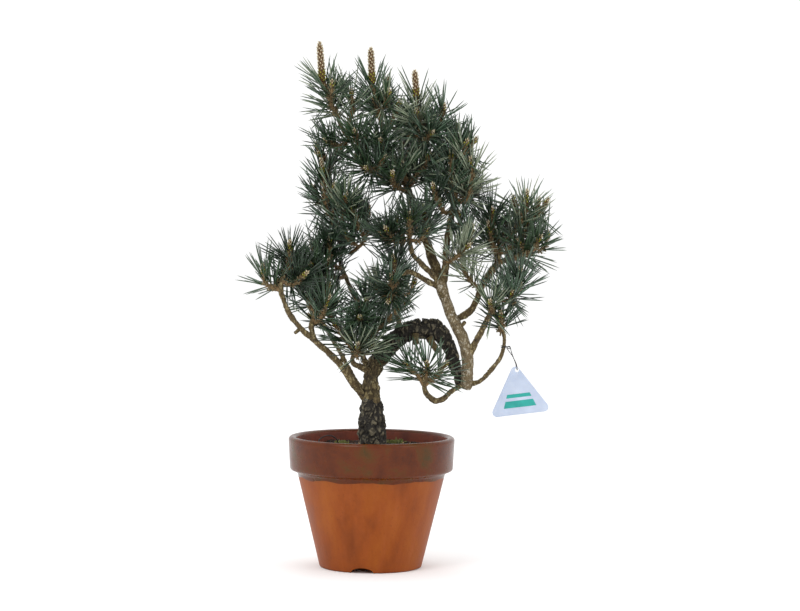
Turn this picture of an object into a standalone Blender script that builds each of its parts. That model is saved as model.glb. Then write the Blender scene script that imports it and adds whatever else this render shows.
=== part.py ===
"""Potted Kotobuki Japanese black pine, a trained tree about 0.67 m tall in a glazed-rim clay pot.

Metres, +Z up. The origin is the centre of the pot's flat underside, +X is to the
right of the tree's front and -Y faces the viewer of the front elevation.

The pot and the soil are turned profiles. The tree is drawn as a front elevation on a
sheet whose unit is 1.27 mm at the trunk: x runs right, y runs down, and "back" is the
distance behind the trunk in millimetres. at() turns a place on the sheet into a point.
Every limb is one tapering tube through a few stations, every mass of needles is one
uneven closed solid worked out from its centre and its three half sizes, and neighbours
keep a small gap.
"""

import math

import bmesh
import bpy
from mathutils import Matrix, Vector, noise
from mathutils.bvhtree import BVHTree

GAP = 0.0003  # clear space between pieces that touch
MM = 0.001

# ---------------------------------------------------------------- front elevation sheet
EYE = Vector((0.0342, -3.33, 0.494))  # where the elevation is seen from
SHEET = 2630.0  # sheet units per metre at one metre from the eye
SHEET_MIDDLE = (400.0, 305.5)
SHEET_DIP = math.radians(2.776)  # the eye looks slightly down
SHEET_TURN = math.radians(0.6)  # the sheet stands this far off level
UNIT = 3.345 / SHEET  # one sheet unit at the trunk, 1.27 mm

# ---------------------------------------------------------------- pot
POT_HEIGHT = 0.1660
RIM_RADIUS = 0.1055
BAND_FOOT_RADIUS = 0.1036  # lower edge of the glazed band
BAND_HEIGHT = 0.0416
BODY_TOP_RADIUS = 0.0936
BASE_RADIUS = 0.0653
LIP_WIDTH = 0.0099
LIP_ROUND = 0.0045
WALL_TOP_INNER = 0.0848  # inner radius just under the band
FLOOR_INNER = 0.0570
FLOOR_THICK = 0.0120
POT_SIDES = 36
NOTCH_COUNT = 3
NOTCH_HALF_WIDTH = 0.0145
NOTCH_HEIGHT = 0.0066
NOTCH_TURN = math.radians(-99.0)  # first notch, nine degrees left of the front
NOTCH_INNER = 0.034
DRAIN_RADIUS = 0.0055
DRAIN_AT = 0.042

# ---------------------------------------------------------------- soil
SOIL_TOP = 0.1520
SOIL_RINGS = (0.0, 0.024, 0.042, 0.060, 0.078, 1.0)  # the last is the wall
SOIL_SIDES = 24
SOIL_UNEVEN = 0.0022

# ---------------------------------------------------------------- limbs
# name: (sides, mass that its tip enters, ((x, y, back mm, half width), ...))
LIMBS = {
    "trunk": (14, None, (
        (373.5, 447.4, 0, 15.4), (372.8, 434, 0, 14.2), (371.6, 420, 0, 13.8), (371.6, 408, 0, 12.2),
        (370.6, 396, 0, 9.5), (370.4, 386, 0, 8.8), (371.4, 377, 0, 7.9), (375, 367.5, 1, 8.8))),
    "arch_rise": (12, None, (
        (375, 367.5, 1, 8.8), (380, 358, 3, 9.4), (387.5, 348, 6, 9.6), (397, 338.6, 9, 10.2),
        (408.5, 331.6, 11, 11.0), (421, 328.5, 13, 11.5))),
    "upper_trunk": (12, None, (
        (465.8, 388.6, 0, 5.2), (466.6, 383, -2, 6.4), (467.3, 372, -6, 6.3), (467.0, 357, -9, 6.2),
        (463.6, 341, -12, 6.0), (457.6, 328, -14, 5.8), (450.7, 314, -16, 5.5), (445.6, 300, -15, 5.4),
        (441.8, 288, -13, 6.2), (440.8, 281, -12, 5.6))),
    "arch_fall": (12, None, (
        (421, 328.5, 13, 11.5), (434, 330.2, 15, 11.0), (444.3, 338.6, 16, 9.4), (450.2, 350, 16, 7.7),
        (453, 361, 14, 7.2), (456.5, 372, 10, 6.9), (462, 383, 4, 6.2))),
    "bough_leader": (8, "foliage_top_middle", (
        (441, 285, -11, 5.2), (437.5, 272, -6, 5.2), (432, 258, 2, 5.0), (427, 243, 8, 4.5),
        (420, 225, 12, 4.0), (413.5, 207, 14, 3.8), (409, 193, 12, 3.7), (404.5, 181, 9, 3.5),
        (397, 165, 6, 3.2), (389.5, 150, 3, 3.0), (383.3, 134, 1, 2.8), (380.7, 121, 0, 2.7))),
    "bough_fork_right": (7, "foliage_upper_right", (
        (442.5, 283, -13, 4.6), (445, 268, -16, 4.0), (446, 251, -17, 3.5), (448.5, 235, -15, 3.8),
        (451.5, 215, -10, 3.3), (455, 198, -6, 3.0), (456, 188, -6, 2.6))),
    "bough_fork_left_high": (7, "foliage_centre", (
        (440, 282, -12, 3.2), (431, 273, -18, 3.0), (420, 262.5, -25, 2.8), (412.5, 254, -31, 2.6),
        (409.7, 240, -42, 2.3))),
    "bough_fork_left_low": (7, "foliage_centre_low", (
        (438.5, 286.5, -13, 3.4), (430, 283, -18, 3.2), (419, 276, -26, 3.0), (409, 271.8, -34, 2.8),
        (399, 275, -39, 2.5))),
    "bough_right_upper": (7, "foliage_right_upper", (
        (455, 320, -10, 3.9), (467, 313.5, -2, 3.8), (474.5, 304.5, 3, 3.7), (480, 291, 8, 3.4),
        (485, 279.5, 11, 3.1), (491, 270, 12, 2.9), (497, 261.5, 11, 2.7), (500, 250, 10, 2.4),
        (497, 238, 12, 2.2))),
    "bough_right_mid": (7, "foliage_right_mid", (
        (467, 358, -9, 3.8), (471.5, 350, -11, 3.7), (479.6, 335, -19, 3.5), (486.7, 321, -26, 3.2),
        (492, 312, -31, 3.0), (502, 298, -36, 2.6))),
    "bough_right_low": (7, "foliage_right_low", (
        (468, 384, -3, 2.9), (475, 383, -7, 2.7), (482.5, 379.5, -13, 2.5), (491.5, 369.5, -20, 2.4),
        (500, 358, -25, 2.3), (503.6, 348, -28, 2.2), (504, 337, -29, 2.1), (502, 328, -29, 2.0))),
    "bough_low_sling": (7, "foliage_low_right", (
        (463, 385, -2, 2.9), (456, 388.5, -7, 2.9), (450, 392.5, -12, 2.9), (443.5, 398.5, -18, 3.0),
        (436, 401, -24, 3.1), (429, 396.5, -29, 3.2), (424.5, 388, -33, 3.0), (426, 377, -36, 2.5))),
    "bough_left_sweep": (8, "foliage_left_upper", (
        (366, 400, -3, 4.2), (353, 383, -14, 3.7), (339.5, 364, -27, 3.4), (330, 354, -33, 3.3),
        (318, 343.5, -38, 3.3), (307, 334, -41, 3.2), (297, 324, -43, 3.1), (289, 313, -44, 3.0),
        (284, 301, -44, 2.9), (281, 291, -43, 2.8), (282, 281, -40, 2.6), (286, 270, -34, 2.2))),
    "bough_left_spur": (7, "foliage_left_mid", (
        (315, 341, -39, 2.9), (312.5, 333, -37, 2.9), (311.5, 325, -34, 2.8), (316, 312, -32, 2.4))),
    "bough_left_back": (7, "foliage_left_back", (
        (366, 389, 4, 3.0), (358.5, 385, 10, 2.7), (353, 376, 20, 2.6), (348, 367, 30, 2.5),
        (340, 352, 44, 2.4), (330, 335, 56, 2.3), (318, 314, 64, 2.2), (313, 299, 70, 2.1))),
    "bough_mid_left": (7, "foliage_mid_left_tip", (
        (370, 370, 4, 3.8), (363.5, 358, 14, 3.4), (361.5, 342, 22, 3.1), (362, 325, 26, 2.9),
        (360.5, 308, 26, 2.8), (355, 297, 25, 2.7), (350.6, 289, 23, 2.7), (346, 278, 20, 2.65),
        (341.5, 267, 17, 2.6), (340.3, 256, 14, 2.5), (341, 244, 11, 2.4), (338, 230, 6, 2.2),
        (331, 214, 2, 2.0))),
    "bough_low_middle": (7, "foliage_low_middle", (
        (369, 371, -5, 3.8), (361, 367, -13, 3.5), (354, 364, -21, 3.1), (352.5, 358, -28, 2.7),
        (358, 346, -33, 2.4))),
    "bough_top_left": (7, "foliage_top_left", (
        (404, 183, 9, 3.0), (396, 180.5, 8, 2.9), (385, 176, 5, 2.8), (371, 167, 1, 2.7),
        (360, 154, -3, 2.6), (350, 140, -5, 2.6), (341.5, 127, -6, 2.5), (334, 108, -6, 2.4))),
    "bough_top_right": (7, "foliage_top_right", (
        (404, 180, 9, 2.9), (411, 168, 11, 2.8), (417.5, 155, 11, 2.7), (421, 142, 9, 2.6),
        (420.5, 126, 8, 2.5))),
    "bough_back_low": (7, "foliage_back_low", (
        (403, 333, 10, 3.2), (399, 322, 24, 3.0), (397, 311, 42, 2.8), (395, 301, 60, 2.5),
        (394, 289, 80, 2.2))),
    "bough_back_mid": (7, "foliage_centre_back", (
        (428, 246, 7, 2.9), (425, 240, 28, 2.8), (420, 233, 50, 2.6), (417, 225, 76, 2.3))),
    "bough_back_right": (7, "foliage_back_right", (
        (480, 291, 8, 2.8), (485, 283, 28, 2.7), (492, 274, 50, 2.5), (502, 260, 74, 2.3))),
    "bough_back_top": (7, "foliage_crown_back", (
        (406, 188, 11, 2.8), (408, 178, 30, 2.7), (408, 168, 48, 2.5), (404, 154, 66, 2.3))),
}

# ---------------------------------------------------------------- masses of needles
# name: (x, y, back mm, half width, half height, half depth mm)
MASSES = {
    "foliage_top_left": (327, 99, -6, 33, 37, 42),
    "foliage_top_middle": (375, 100, 0, 29, 38, 44),
    "foliage_top_right": (422, 122, 6, 29, 36, 42),
    "foliage_crown_right": (455, 139, -8, 26, 29, 38),
    "foliage_crown_centre": (371, 152, -26, 30, 27, 38),
    "foliage_crown_back": (402, 150, 72, 36, 32, 40),
    "foliage_crown_left": (330, 150, 8, 27, 14, 26),
    "foliage_upper_right": (465, 184, 0, 31, 28, 50),
    "foliage_mid_left_tip": (325, 195, 0, 29, 33, 40),
    "foliage_mid_left": (357, 221, -14, 22, 32, 38),
    "foliage_centre": (403, 232, -52, 34, 30, 36),
    "foliage_centre_back": (417, 222, 86, 34, 30, 40),
    "foliage_centre_low": (393, 288, -42, 31, 32, 38),
    "foliage_right_inner": (463, 242, -32, 21, 38, 32),
    "foliage_right_upper": (491, 228, 14, 24, 27, 38),
    "foliage_right_outer_top": (527, 208, 0, 27, 23, 34),
    "foliage_right_outer": (538, 243, -6, 27, 21, 34),
    "foliage_right_mid": (513, 287, -36, 32, 30, 40),
    "foliage_right_low": (501, 326, -28, 21, 20, 28),
    "foliage_left_tip": (262, 278, -38, 25, 20, 28),
    "foliage_left_upper": (291, 262, -30, 28, 28, 38),
    "foliage_left_inner": (323, 254, -6, 24, 29, 34),
    "foliage_left_mid": (322, 306, -34, 29, 28, 38),
    "foliage_low_middle": (360, 334, -30, 41, 31, 34),
    "foliage_low_right": (424, 368, -42, 33, 27, 30),
    "foliage_back_right": (506, 256, 82, 36, 32, 40),
    "foliage_left_back": (311, 290, 80, 32, 30, 38),
    "foliage_back_low": (394, 286, 90, 32, 30, 38),
}
MASS_AROUND = 12  # faces round a mass
MASS_ALONG = 7
MASS_LUMPS = (0.20, 1.9)  # share of the radius, and how many to a turn
MASS_CRINKLE = (0.10, 4.3)

# ---------------------------------------------------------------- candles, tag
# name: (tip x, tip y, foot x, foot y, back mm, half width at tip and foot)
CANDLES = {
    "candle_left": (319.4, 40.7, 322.4, 82, -6, 3.0, 4.3),
    "candle_middle": (370.7, 46.4, 372.2, 84, 0, 3.0, 4.2),
    "candle_right": (414.5, 69.4, 416.8, 98, 6, 2.9, 4.0),
}
TAG_CORNERS = ((514.3, 362.5), (489.5, 418.0), (552.5, 410.5))
TAG_BACK = -28
TAG_THICK = 0.0011
TAG_CORNER_ROUND = 4.5
TAG_HOLE = (517.0, 370.0)
TAG_HOLE_RADIUS = 0.0026
STRING_RADIUS = 0.0005
STRING = (  # x, y, back mm: down from the bough, through the hole and up again
    (506.2, 347.5, -31.5), (508.4, 350.5, -31.2), (512.4, 356.0, -30.8), (516.3, 364.0, -30.4),
    (517.2, 369.0, -29.2), (517.3, 369.9, -27.5), (516.8, 368.6, -25.8), (515.4, 363.0, -25.2),
    (511.6, 352.5, -26.5), (510.4, 347.5, -28.0))


# ================================================================ helpers
def at(x, y, back=0.0):
    """The point of the elevation sheet at (x, y) that lies this many millimetres behind the trunk."""
    u = (x - SHEET_MIDDLE[0]) / SHEET
    v = (SHEET_MIDDLE[1] - y) / SHEET
    turn, dip = SHEET_TURN, SHEET_DIP
    u, v = u * math.cos(turn) - v * math.sin(turn), u * math.sin(turn) + v * math.cos(turn)
    ray = Vector((u, math.cos(dip) + v * math.sin(dip), -math.sin(dip) + v * math.cos(dip)))
    return EYE + ray * ((back * MM - EYE.y) / ray.y)


def plain_material(name, colour, roughness, metallic=0.0):
    material = bpy.data.materials.new(name)
    material.use_nodes = True
    shader = material.node_tree.nodes["Principled BSDF"]
    shader.inputs["Base Color"].default_value = (*colour, 1.0)
    shader.inputs["Roughness"].default_value = roughness
    shader.inputs["Metallic"].default_value = metallic
    material.diffuse_color = (*colour, 1.0)
    return material


def finish_mesh(bm, name):
    bmesh.ops.remove_doubles(bm, verts=bm.verts, dist=1e-6)
    bmesh.ops.recalc_face_normals(bm, faces=bm.faces)
    mesh = bpy.data.meshes.new(name)
    bm.to_mesh(mesh)
    bm.free()
    mesh.shade_smooth()
    mesh.set_sharp_from_angle(angle=math.radians(35))
    return mesh


def place(name, mesh, material):
    obj = bpy.data.objects.new(name, mesh)
    obj.data.materials.clear()
    obj.data.materials.append(material)
    bpy.context.scene.collection.objects.link(obj)
    return obj


def tree_of(mesh):
    return BVHTree.FromPolygons([v.co.copy() for v in mesh.vertices], [tuple(p.vertices) for p in mesh.polygons])


def meet(mesh_a, mesh_b):
    return bool(tree_of(mesh_a).overlap(tree_of(mesh_b)))


def largest_body(mesh):
    """Keeps the body with the most volume, and triangulates it."""
    bm = bmesh.new()
    bm.from_mesh(mesh)
    bmesh.ops.remove_doubles(bm, verts=bm.verts, dist=2e-6)
    bmesh.ops.dissolve_degenerate(bm, edges=bm.edges, dist=2e-6)
    bmesh.ops.triangulate(bm, faces=bm.faces)
    left, bodies = set(bm.faces), []
    while left:
        stack, body = [left.pop()], []
        while stack:
            face = stack.pop()
            body.append(face)
            for edge in face.edges:
                for other in edge.link_faces:
                    if other in left:
                        left.remove(other)
                        stack.append(other)
        volume = sum(f.verts[0].co.dot(f.verts[1].co.cross(f.verts[2].co)) for f in body) / 6
        bodies.append((abs(volume), body))
    bodies.sort(key=lambda item: item[0], reverse=True)
    for _, body in bodies[1:]:
        bmesh.ops.delete(bm, geom=body, context="FACES")
    bmesh.ops.delete(bm, geom=[v for v in bm.verts if not v.link_faces], context="VERTS")
    bm.to_mesh(mesh)
    bm.free()
    return mesh


def cut(mesh, cutter, operation="DIFFERENCE"):
    """The mesh less the cutter, by an exact Boolean."""
    body = bpy.data.objects.new("body", mesh)
    knife = bpy.data.objects.new("knife", cutter)
    for obj in (body, knife):
        bpy.context.scene.collection.objects.link(obj)
    boolean = body.modifiers.new("cut", "BOOLEAN")
    boolean.operation = operation
    boolean.solver = "EXACT"
    boolean.object = knife
    bpy.context.view_layer.update()
    graph = bpy.context.evaluated_depsgraph_get()
    result = bpy.data.meshes.new_from_object(body.evaluated_get(graph))
    bpy.data.objects.remove(body)
    bpy.data.objects.remove(knife)
    result = largest_body(result)
    result.shade_smooth()
    result.set_sharp_from_angle(angle=math.radians(35))
    return result


def turned(profile, sides, name):
    """A closed solid turned about Z from (radius, height) pairs that start and end on the axis."""
    bm = bmesh.new()
    rings = []
    for radius, height in profile:
        if radius < 1e-9:
            rings.append([bm.verts.new((0, 0, height))])
        else:
            rings.append([
                bm.verts.new((radius * math.cos(math.tau * i / sides), radius * math.sin(math.tau * i / sides), height))
                for i in range(sides)])
    for low, high in zip(rings, rings[1:]):
        for i in range(sides):
            j = (i + 1) % sides
            if len(low) == 1:
                bm.faces.new((low[0], high[i], high[j]))
            elif len(high) == 1:
                bm.faces.new((low[i], low[j], high[0]))
            else:
                bm.faces.new((low[i], low[j], high[j], high[i]))
    return finish_mesh(bm, name)


def smooth_run(stations, spans):
    """Points and radii along a smooth curve through the stations, spans to each stretch."""
    points = [at(x, y, back) for x, y, back, _ in stations]
    radii = [half * UNIT for *_, half in stations]
    run = []
    for i in range(len(points) - 1):
        before = points[i - 1] if i else points[i] * 2 - points[i + 1]
        after = points[i + 2] if i + 2 < len(points) else points[i + 1] * 2 - points[i]
        for k in range(spans):
            t = k / spans
            a = -0.5 * t**3 + t**2 - 0.5 * t
            b = 1.5 * t**3 - 2.5 * t**2 + 1
            c = -1.5 * t**3 + 2 * t**2 + 0.5 * t
            d = 0.5 * t**3 - 0.5 * t**2
            run.append((before * a + points[i] * b + points[i + 1] * c + after * d, radii[i] * (1 - t) + radii[i + 1] * t))
    run.append((points[-1], radii[-1]))
    return run


def limb_mesh(name, grow=0.0):
    """A tapering tube through the limb's stations. grow makes it fatter and longer, to cut a neighbour's clearance."""
    sides, _, stations = LIMBS[name]
    run = smooth_run(stations, 1)
    points = [p for p, _ in run]
    radii = [r + grow for _, r in run]
    tangents = []
    for i in range(len(points)):
        tangents.append((points[min(i + 1, len(points) - 1)] - points[max(i - 1, 0)]).normalized())
    flat_foot = name == "trunk"
    if flat_foot:
        tangents[0] = Vector((0, 0, 1))
        points[0].z = SOIL_TOP
    points[0] = points[0] - tangents[0] * grow
    points[-1] = points[-1] + tangents[-1] * grow
    side = tangents[0].orthogonal().normalized()
    if flat_foot:
        side = Vector((1, 0, 0))
    bm = bmesh.new()
    rings = []
    for i, (point, radius, tangent) in enumerate(zip(points, radii, tangents)):
        if i:
            side = (side - tangent * side.dot(tangent)).normalized()
        up = tangent.cross(side)
        ring = []
        for k in range(sides):
            turn = math.tau * k / sides
            flare = 1.0
            if flat_foot and i < 3:
                flare += (3 - i) * (0.030 * math.cos(3 * turn + 0.6) + 0.018 * math.cos(5 * turn + 2.1))
            ring.append(bm.verts.new(point + (side * math.cos(turn) + up * math.sin(turn)) * radius * flare))
        rings.append(ring)
    for low, high in zip(rings, rings[1:]):
        for k in range(sides):
            n = (k + 1) % sides
            bm.faces.new((low[k], low[n], high[n], high[k]))
    bm.faces.new(list(reversed(rings[0])))
    bm.faces.new(rings[-1])
    return finish_mesh(bm, name)


class Mass:
    """One uneven body of needles: its radius in any direction, held back by planes where a neighbour begins."""

    def __init__(self, name, order):
        x, y, back, wide, high, deep = MASSES[name]
        self.name = name
        self.centre = at(x, y, back)
        self.half = Vector((wide * UNIT, deep * MM, high * UNIT))
        self.seed = Vector((3.1 * order + 0.7, 1.7 * order + 5.3, 2.3 * order + 9.1))
        self.planes = []

    def free_radius(self, way):
        smooth = 1 / math.sqrt(sum((way[i] / self.half[i]) ** 2 for i in range(3)))
        lumps = MASS_LUMPS[0] * noise.noise(way * MASS_LUMPS[1] + self.seed)
        crinkle = MASS_CRINKLE[0] * noise.noise(way * MASS_CRINKLE[1] - self.seed)
        return smooth * (1.0 + lumps + crinkle)

    def radius(self, way):
        reach = self.free_radius(way)
        for normal, distance in self.planes:
            lean = way.dot(normal)
            if lean > 1e-6:
                reach = min(reach, distance / lean)
        return reach

    def mesh(self, grow=0.0):
        bm = bmesh.new()
        bmesh.ops.create_uvsphere(bm, u_segments=MASS_AROUND, v_segments=MASS_ALONG, radius=1.0)
        bmesh.ops.rotate(bm, verts=bm.verts, cent=(0, 0, 0), matrix=Matrix.Rotation(math.radians(90), 3, "X"))
        for vert in bm.verts:
            way = vert.co.normalized()
            vert.co = self.centre + way * (self.radius(way) + grow)
        bmesh.ops.triangulate(bm, faces=bm.faces)
        return finish_mesh(bm, self.name)


def part_masses(masses):
    """Gives each pair of masses that would run into each other a plane between them."""
    meshes = {m.name: m.mesh() for m in masses}
    pairs = []
    for i, one in enumerate(masses):
        for other in masses[i + 1:]:
            if meet(meshes[one.name], meshes[other.name]):
                pairs.append((one, other))
    for one, other in pairs:
        across = other.centre - one.centre
        apart = across.length
        normal = across / apart
        near, far = one.free_radius(normal), other.free_radius(-normal)
        share = apart * near / (near + far)
        one.planes.append((normal, share - GAP))
        other.planes.append((-normal, apart - share - GAP))
    for mesh in meshes.values():
        bpy.data.meshes.remove(mesh)


# ================================================================ pieces
def pot_profile():
    top, inner = POT_HEIGHT, RIM_RADIUS - LIP_WIDTH
    band = POT_HEIGHT - BAND_HEIGHT
    outer = [
        (0.0, 0.0), (BASE_RADIUS - 0.0020, 0.0), (BASE_RADIUS, 0.0020), (BODY_TOP_RADIUS, band - 0.0050),
        (BODY_TOP_RADIUS + 0.0018, band - 0.0034), (BAND_FOOT_RADIUS - 0.0018, band - 0.0008), (BAND_FOOT_RADIUS, band + 0.0018)]
    lip = []
    for step in range(4):
        turn = math.radians(90 * step / 3)
        lip.append((RIM_RADIUS - LIP_ROUND + LIP_ROUND * math.cos(turn), top - LIP_ROUND + LIP_ROUND * math.sin(turn)))
    hollow = [
        (inner + 0.0022, top - 0.0010), (inner, top - 0.0042), (inner - 0.0022, band + 0.0090),
        (WALL_TOP_INNER, band - 0.0106), (FLOOR_INNER, FLOOR_THICK + 0.0030), (FLOOR_INNER - 0.0040, FLOOR_THICK), (0.0, FLOOR_THICK)]
    return outer + lip + hollow


def pot():
    mesh = turned(pot_profile(), POT_SIDES, "pot")
    for i in range(NOTCH_COUNT):
        turn = NOTCH_TURN + math.tau * i / NOTCH_COUNT
        bm = bmesh.new()
        near, far = [], []
        steps = 8
        outline = [(NOTCH_HALF_WIDTH * math.cos(math.pi * s / steps), NOTCH_HEIGHT * math.sin(math.pi * s / steps)) for s in range(steps + 1)]
        outline = [(NOTCH_HALF_WIDTH * 1.0, -0.004)] + outline + [(-NOTCH_HALF_WIDTH * 1.0, -0.004)]
        for across, up in outline:
            near.append(bm.verts.new((NOTCH_INNER, across, up)))
            far.append(bm.verts.new((0.080, across, up)))
        for a in range(len(outline)):
            b = (a + 1) % len(outline)
            bm.faces.new((near[a], near[b], far[b], far[a]))
        bm.faces.new(near)
        bm.faces.new(far)
        bmesh.ops.rotate(bm, verts=bm.verts, cent=(0, 0, 0), matrix=Matrix.Rotation(turn, 3, "Z"))
        mesh = cut(mesh, finish_mesh(bm, "notch"))
        bm = bmesh.new()
        middle = Matrix.Rotation(turn, 4, "Z") @ Matrix.Translation((DRAIN_AT, 0, 0.008))
        bmesh.ops.create_cone(bm, cap_ends=True, segments=10, radius1=DRAIN_RADIUS, radius2=DRAIN_RADIUS, depth=0.030, matrix=middle)
        mesh = cut(mesh, finish_mesh(bm, "drain"))
    return place("pot", mesh, plain_material("terracotta", (0.40, 0.13, 0.045), 0.62))


def inner_radius(height):
    """Radius of the pot's inner wall at this height."""
    wall = [p for p in pot_profile() if p[1] > FLOOR_THICK - 1e-6][-7:]
    wall = sorted(wall[1:-1], key=lambda p: p[1])
    for (r0, z0), (r1, z1) in zip(wall, wall[1:]):
        if z0 <= height <= z1:
            return r0 + (r1 - r0) * (height - z0) / (z1 - z0)
    return wall[-1][0]


def soil():
    sides = SOIL_SIDES
    clear = 0.0012  # the many-sided wall is flatter between its corners than a circle
    low = FLOOR_THICK + GAP
    wall = [
        (0.0, low), (FLOOR_INNER - 0.0060, low), (FLOOR_INNER - clear, low + 0.0036),
        (WALL_TOP_INNER - clear, POT_HEIGHT - BAND_HEIGHT - 0.0106)]
    bm = bmesh.new()
    rings = []
    for radius, height in wall:
        if radius == 0.0:
            rings.append([bm.verts.new((0, 0, height))])
            continue
        rings.append([
            bm.verts.new((radius * math.cos(math.tau * k / sides), radius * math.sin(math.tau * k / sides), height))
            for k in range(sides)])
    edge = inner_radius(SOIL_TOP - 0.001) - clear
    for share in reversed(SOIL_RINGS):
        radius = edge if share == 1.0 else share
        if radius == 0.0:
            rings.append([bm.verts.new((0, 0, SOIL_TOP - GAP))])
            continue
        ring = []
        for k in range(sides):
            turn = math.tau * k / sides
            where = Vector((radius * math.cos(turn), radius * math.sin(turn), 0.0))
            rise = 0.0 if radius < 0.03 else SOIL_UNEVEN * noise.noise(where * 38.0 + Vector((4.0, 1.0, 2.0)))
            ring.append(bm.verts.new((where.x, where.y, SOIL_TOP - GAP + rise)))
        rings.append(ring)
    for a, b in zip(rings, rings[1:]):
        for k in range(sides):
            n = (k + 1) % sides
            if len(a) == 1:
                bm.faces.new((a[0], b[k], b[n]))
            elif len(b) == 1:
                bm.faces.new((a[k], a[n], b[0]))
            else:
                bm.faces.new((a[k], a[n], b[n], b[k]))
    return place("soil", finish_mesh(bm, "soil"), plain_material("soil", (0.055, 0.032, 0.018), 0.95))


def candle_mesh(name, grow=0.0):
    tip_x, tip_y, foot_x, foot_y, back, tip_half, foot_half = CANDLES[name]
    tip, foot = at(tip_x, tip_y, back), at(foot_x, foot_y, back)
    way = (tip - foot).normalized()
    length = (tip - foot).length
    side = way.orthogonal().normalized()
    up = way.cross(side)
    bm = bmesh.new()
    rings = []
    for share, width in ((0.0, 1.0), (0.35, 1.04), (0.75, 0.92), (0.93, 0.74), (1.0, 0.34)):
        radius = (foot_half + (tip_half - foot_half) * share) * width * UNIT + grow
        rings.append([
            bm.verts.new(foot + way * (length * share) + (side * math.cos(math.tau * k / 8) + up * math.sin(math.tau * k / 8)) * radius)
            for k in range(8)])
    for low, high in zip(rings, rings[1:]):
        for k in range(8):
            bm.faces.new((low[k], low[(k + 1) % 8], high[(k + 1) % 8], high[k]))
    bm.faces.new(list(reversed(rings[0])))
    bm.faces.new(rings[-1])
    return finish_mesh(bm, name)


def tag():
    """A flat three-cornered plate with round corners and one round hole."""
    corners = [at(x, y, TAG_BACK) for x, y in TAG_CORNERS]
    round_ = TAG_CORNER_ROUND * UNIT
    outline = []
    for i, corner in enumerate(corners):
        to_last = (corners[i - 1] - corner).normalized()
        to_next = (corners[(i + 1) % 3] - corner).normalized()
        half = 0.5 * to_last.angle(to_next)
        middle = corner + (to_last + to_next).normalized() * (round_ / math.sin(half))
        first = corner + to_last * (round_ / math.tan(half)) - middle
        final = corner + to_next * (round_ / math.tan(half)) - middle
        for step in range(5):
            outline.append(middle + first.normalized().slerp(final.normalized(), step / 4) * first.length)
    bm = bmesh.new()
    front = [bm.verts.new(p - Vector((0, TAG_THICK / 2, 0))) for p in outline]
    rear = [bm.verts.new(p + Vector((0, TAG_THICK / 2, 0))) for p in outline]
    bm.faces.new(front)
    bm.faces.new(list(reversed(rear)))
    for i in range(len(outline)):
        j = (i + 1) % len(outline)
        bm.faces.new((front[i], rear[i], rear[j], front[j]))
    plate = finish_mesh(bm, "tag")
    bm = bmesh.new()
    centre = Matrix.Translation(at(*TAG_HOLE, TAG_BACK)) @ Matrix.Rotation(math.radians(90), 4, "X")
    bmesh.ops.create_cone(bm, cap_ends=True, segments=12, radius1=TAG_HOLE_RADIUS, radius2=TAG_HOLE_RADIUS, depth=0.01, matrix=centre)
    plate = cut(plate, finish_mesh(bm, "hole"))
    return place("tag", plate, plain_material("tag_plastic", (0.82, 0.86, 0.92), 0.35))


def tag_string():
    curve = bpy.data.curves.new("tag_string", "CURVE")
    curve.dimensions = "3D"
    curve.bevel_depth = STRING_RADIUS
    curve.bevel_resolution = 1
    curve.use_fill_caps = True
    run = smooth_run([(x, y, back, 1.0) for x, y, back in STRING], 2)
    spline = curve.splines.new("POLY")
    spline.points.add(len(run) - 1)
    for point, (where, _) in zip(spline.points, run):
        point.co = (*where, 1.0)
    curve.materials.append(plain_material("string", (0.03, 0.03, 0.035), 0.8))
    obj = bpy.data.objects.new("tag_string", curve)
    bpy.context.scene.collection.objects.link(obj)
    return obj


def build():
    for obj in list(bpy.data.objects):
        bpy.data.objects.remove(obj, do_unlink=True)
    pot()
    soil()
    tag()
    tag_string()

    dark_bark = plain_material("dark_bark", (0.030, 0.024, 0.018), 0.9)
    pale_bark = plain_material("pale_bark", (0.30, 0.25, 0.18), 0.85)
    young_bark = plain_material("young_bark", (0.16, 0.12, 0.06), 0.85)
    needles = plain_material("needles", (0.045, 0.11, 0.06), 0.6)
    bud = plain_material("bud", (0.42, 0.34, 0.17), 0.7)

    # limbs, each cut back where it springs from an earlier one
    limbs = {}
    for name in LIMBS:
        mesh = limb_mesh(name)
        for earlier in limbs:
            knife = limb_mesh(earlier, GAP)
            if meet(mesh, knife):
                mesh = cut(mesh, knife)
            else:
                bpy.data.meshes.remove(knife)
        limbs[name] = mesh

    masses = [Mass(name, order) for order, name in enumerate(MASSES)]
    part_masses(masses)
    bodies = {}
    for mass in masses:
        body = mass.mesh()
        for name in LIMBS:
            if LIMBS[name][1] == mass.name:
                knife = mass.mesh(GAP * 1.3)
                if meet(limbs[name], knife):
                    limbs[name] = cut(limbs[name], knife)
            else:
                knife = limb_mesh(name, GAP * 1.3)
                if meet(body, knife):
                    body = cut(body, knife)
        bodies[mass.name] = body

    for name, mesh in limbs.items():
        if name in ("trunk", "arch_rise", "arch_fall"):
            skin = dark_bark
        elif name == "upper_trunk":
            skin = pale_bark
        else:
            skin = young_bark
        place(name, mesh, skin)
    for name, mesh in bodies.items():
        place(name, mesh, needles)
    for name in CANDLES:
        mesh = candle_mesh(name)
        for mass in masses:
            knife = mass.mesh(GAP * 1.3)
            if meet(mesh, knife):
                mesh = cut(mesh, knife)
        place(name, mesh, bud)
    for mesh in [m for m in bpy.data.meshes if m.users == 0]:
        bpy.data.meshes.remove(mesh)


build()
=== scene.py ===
"""The looks of the potted Kotobuki black pine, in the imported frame's own metres.

Bark with relief replaces every limb, twigs and shoots of needles grow on from the
limbs in place of every mass of needles, and the pot, soil, candles, tag and twine are
modelled again in fine detail. Places are drawn on the same front elevation sheet as
the frame: x right, y down, "back" in millimetres behind the trunk.
"""

import math

import bmesh
import bpy
import numpy as np
from mathutils import Matrix, Vector, noise
from mathutils.kdtree import KDTree


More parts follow.
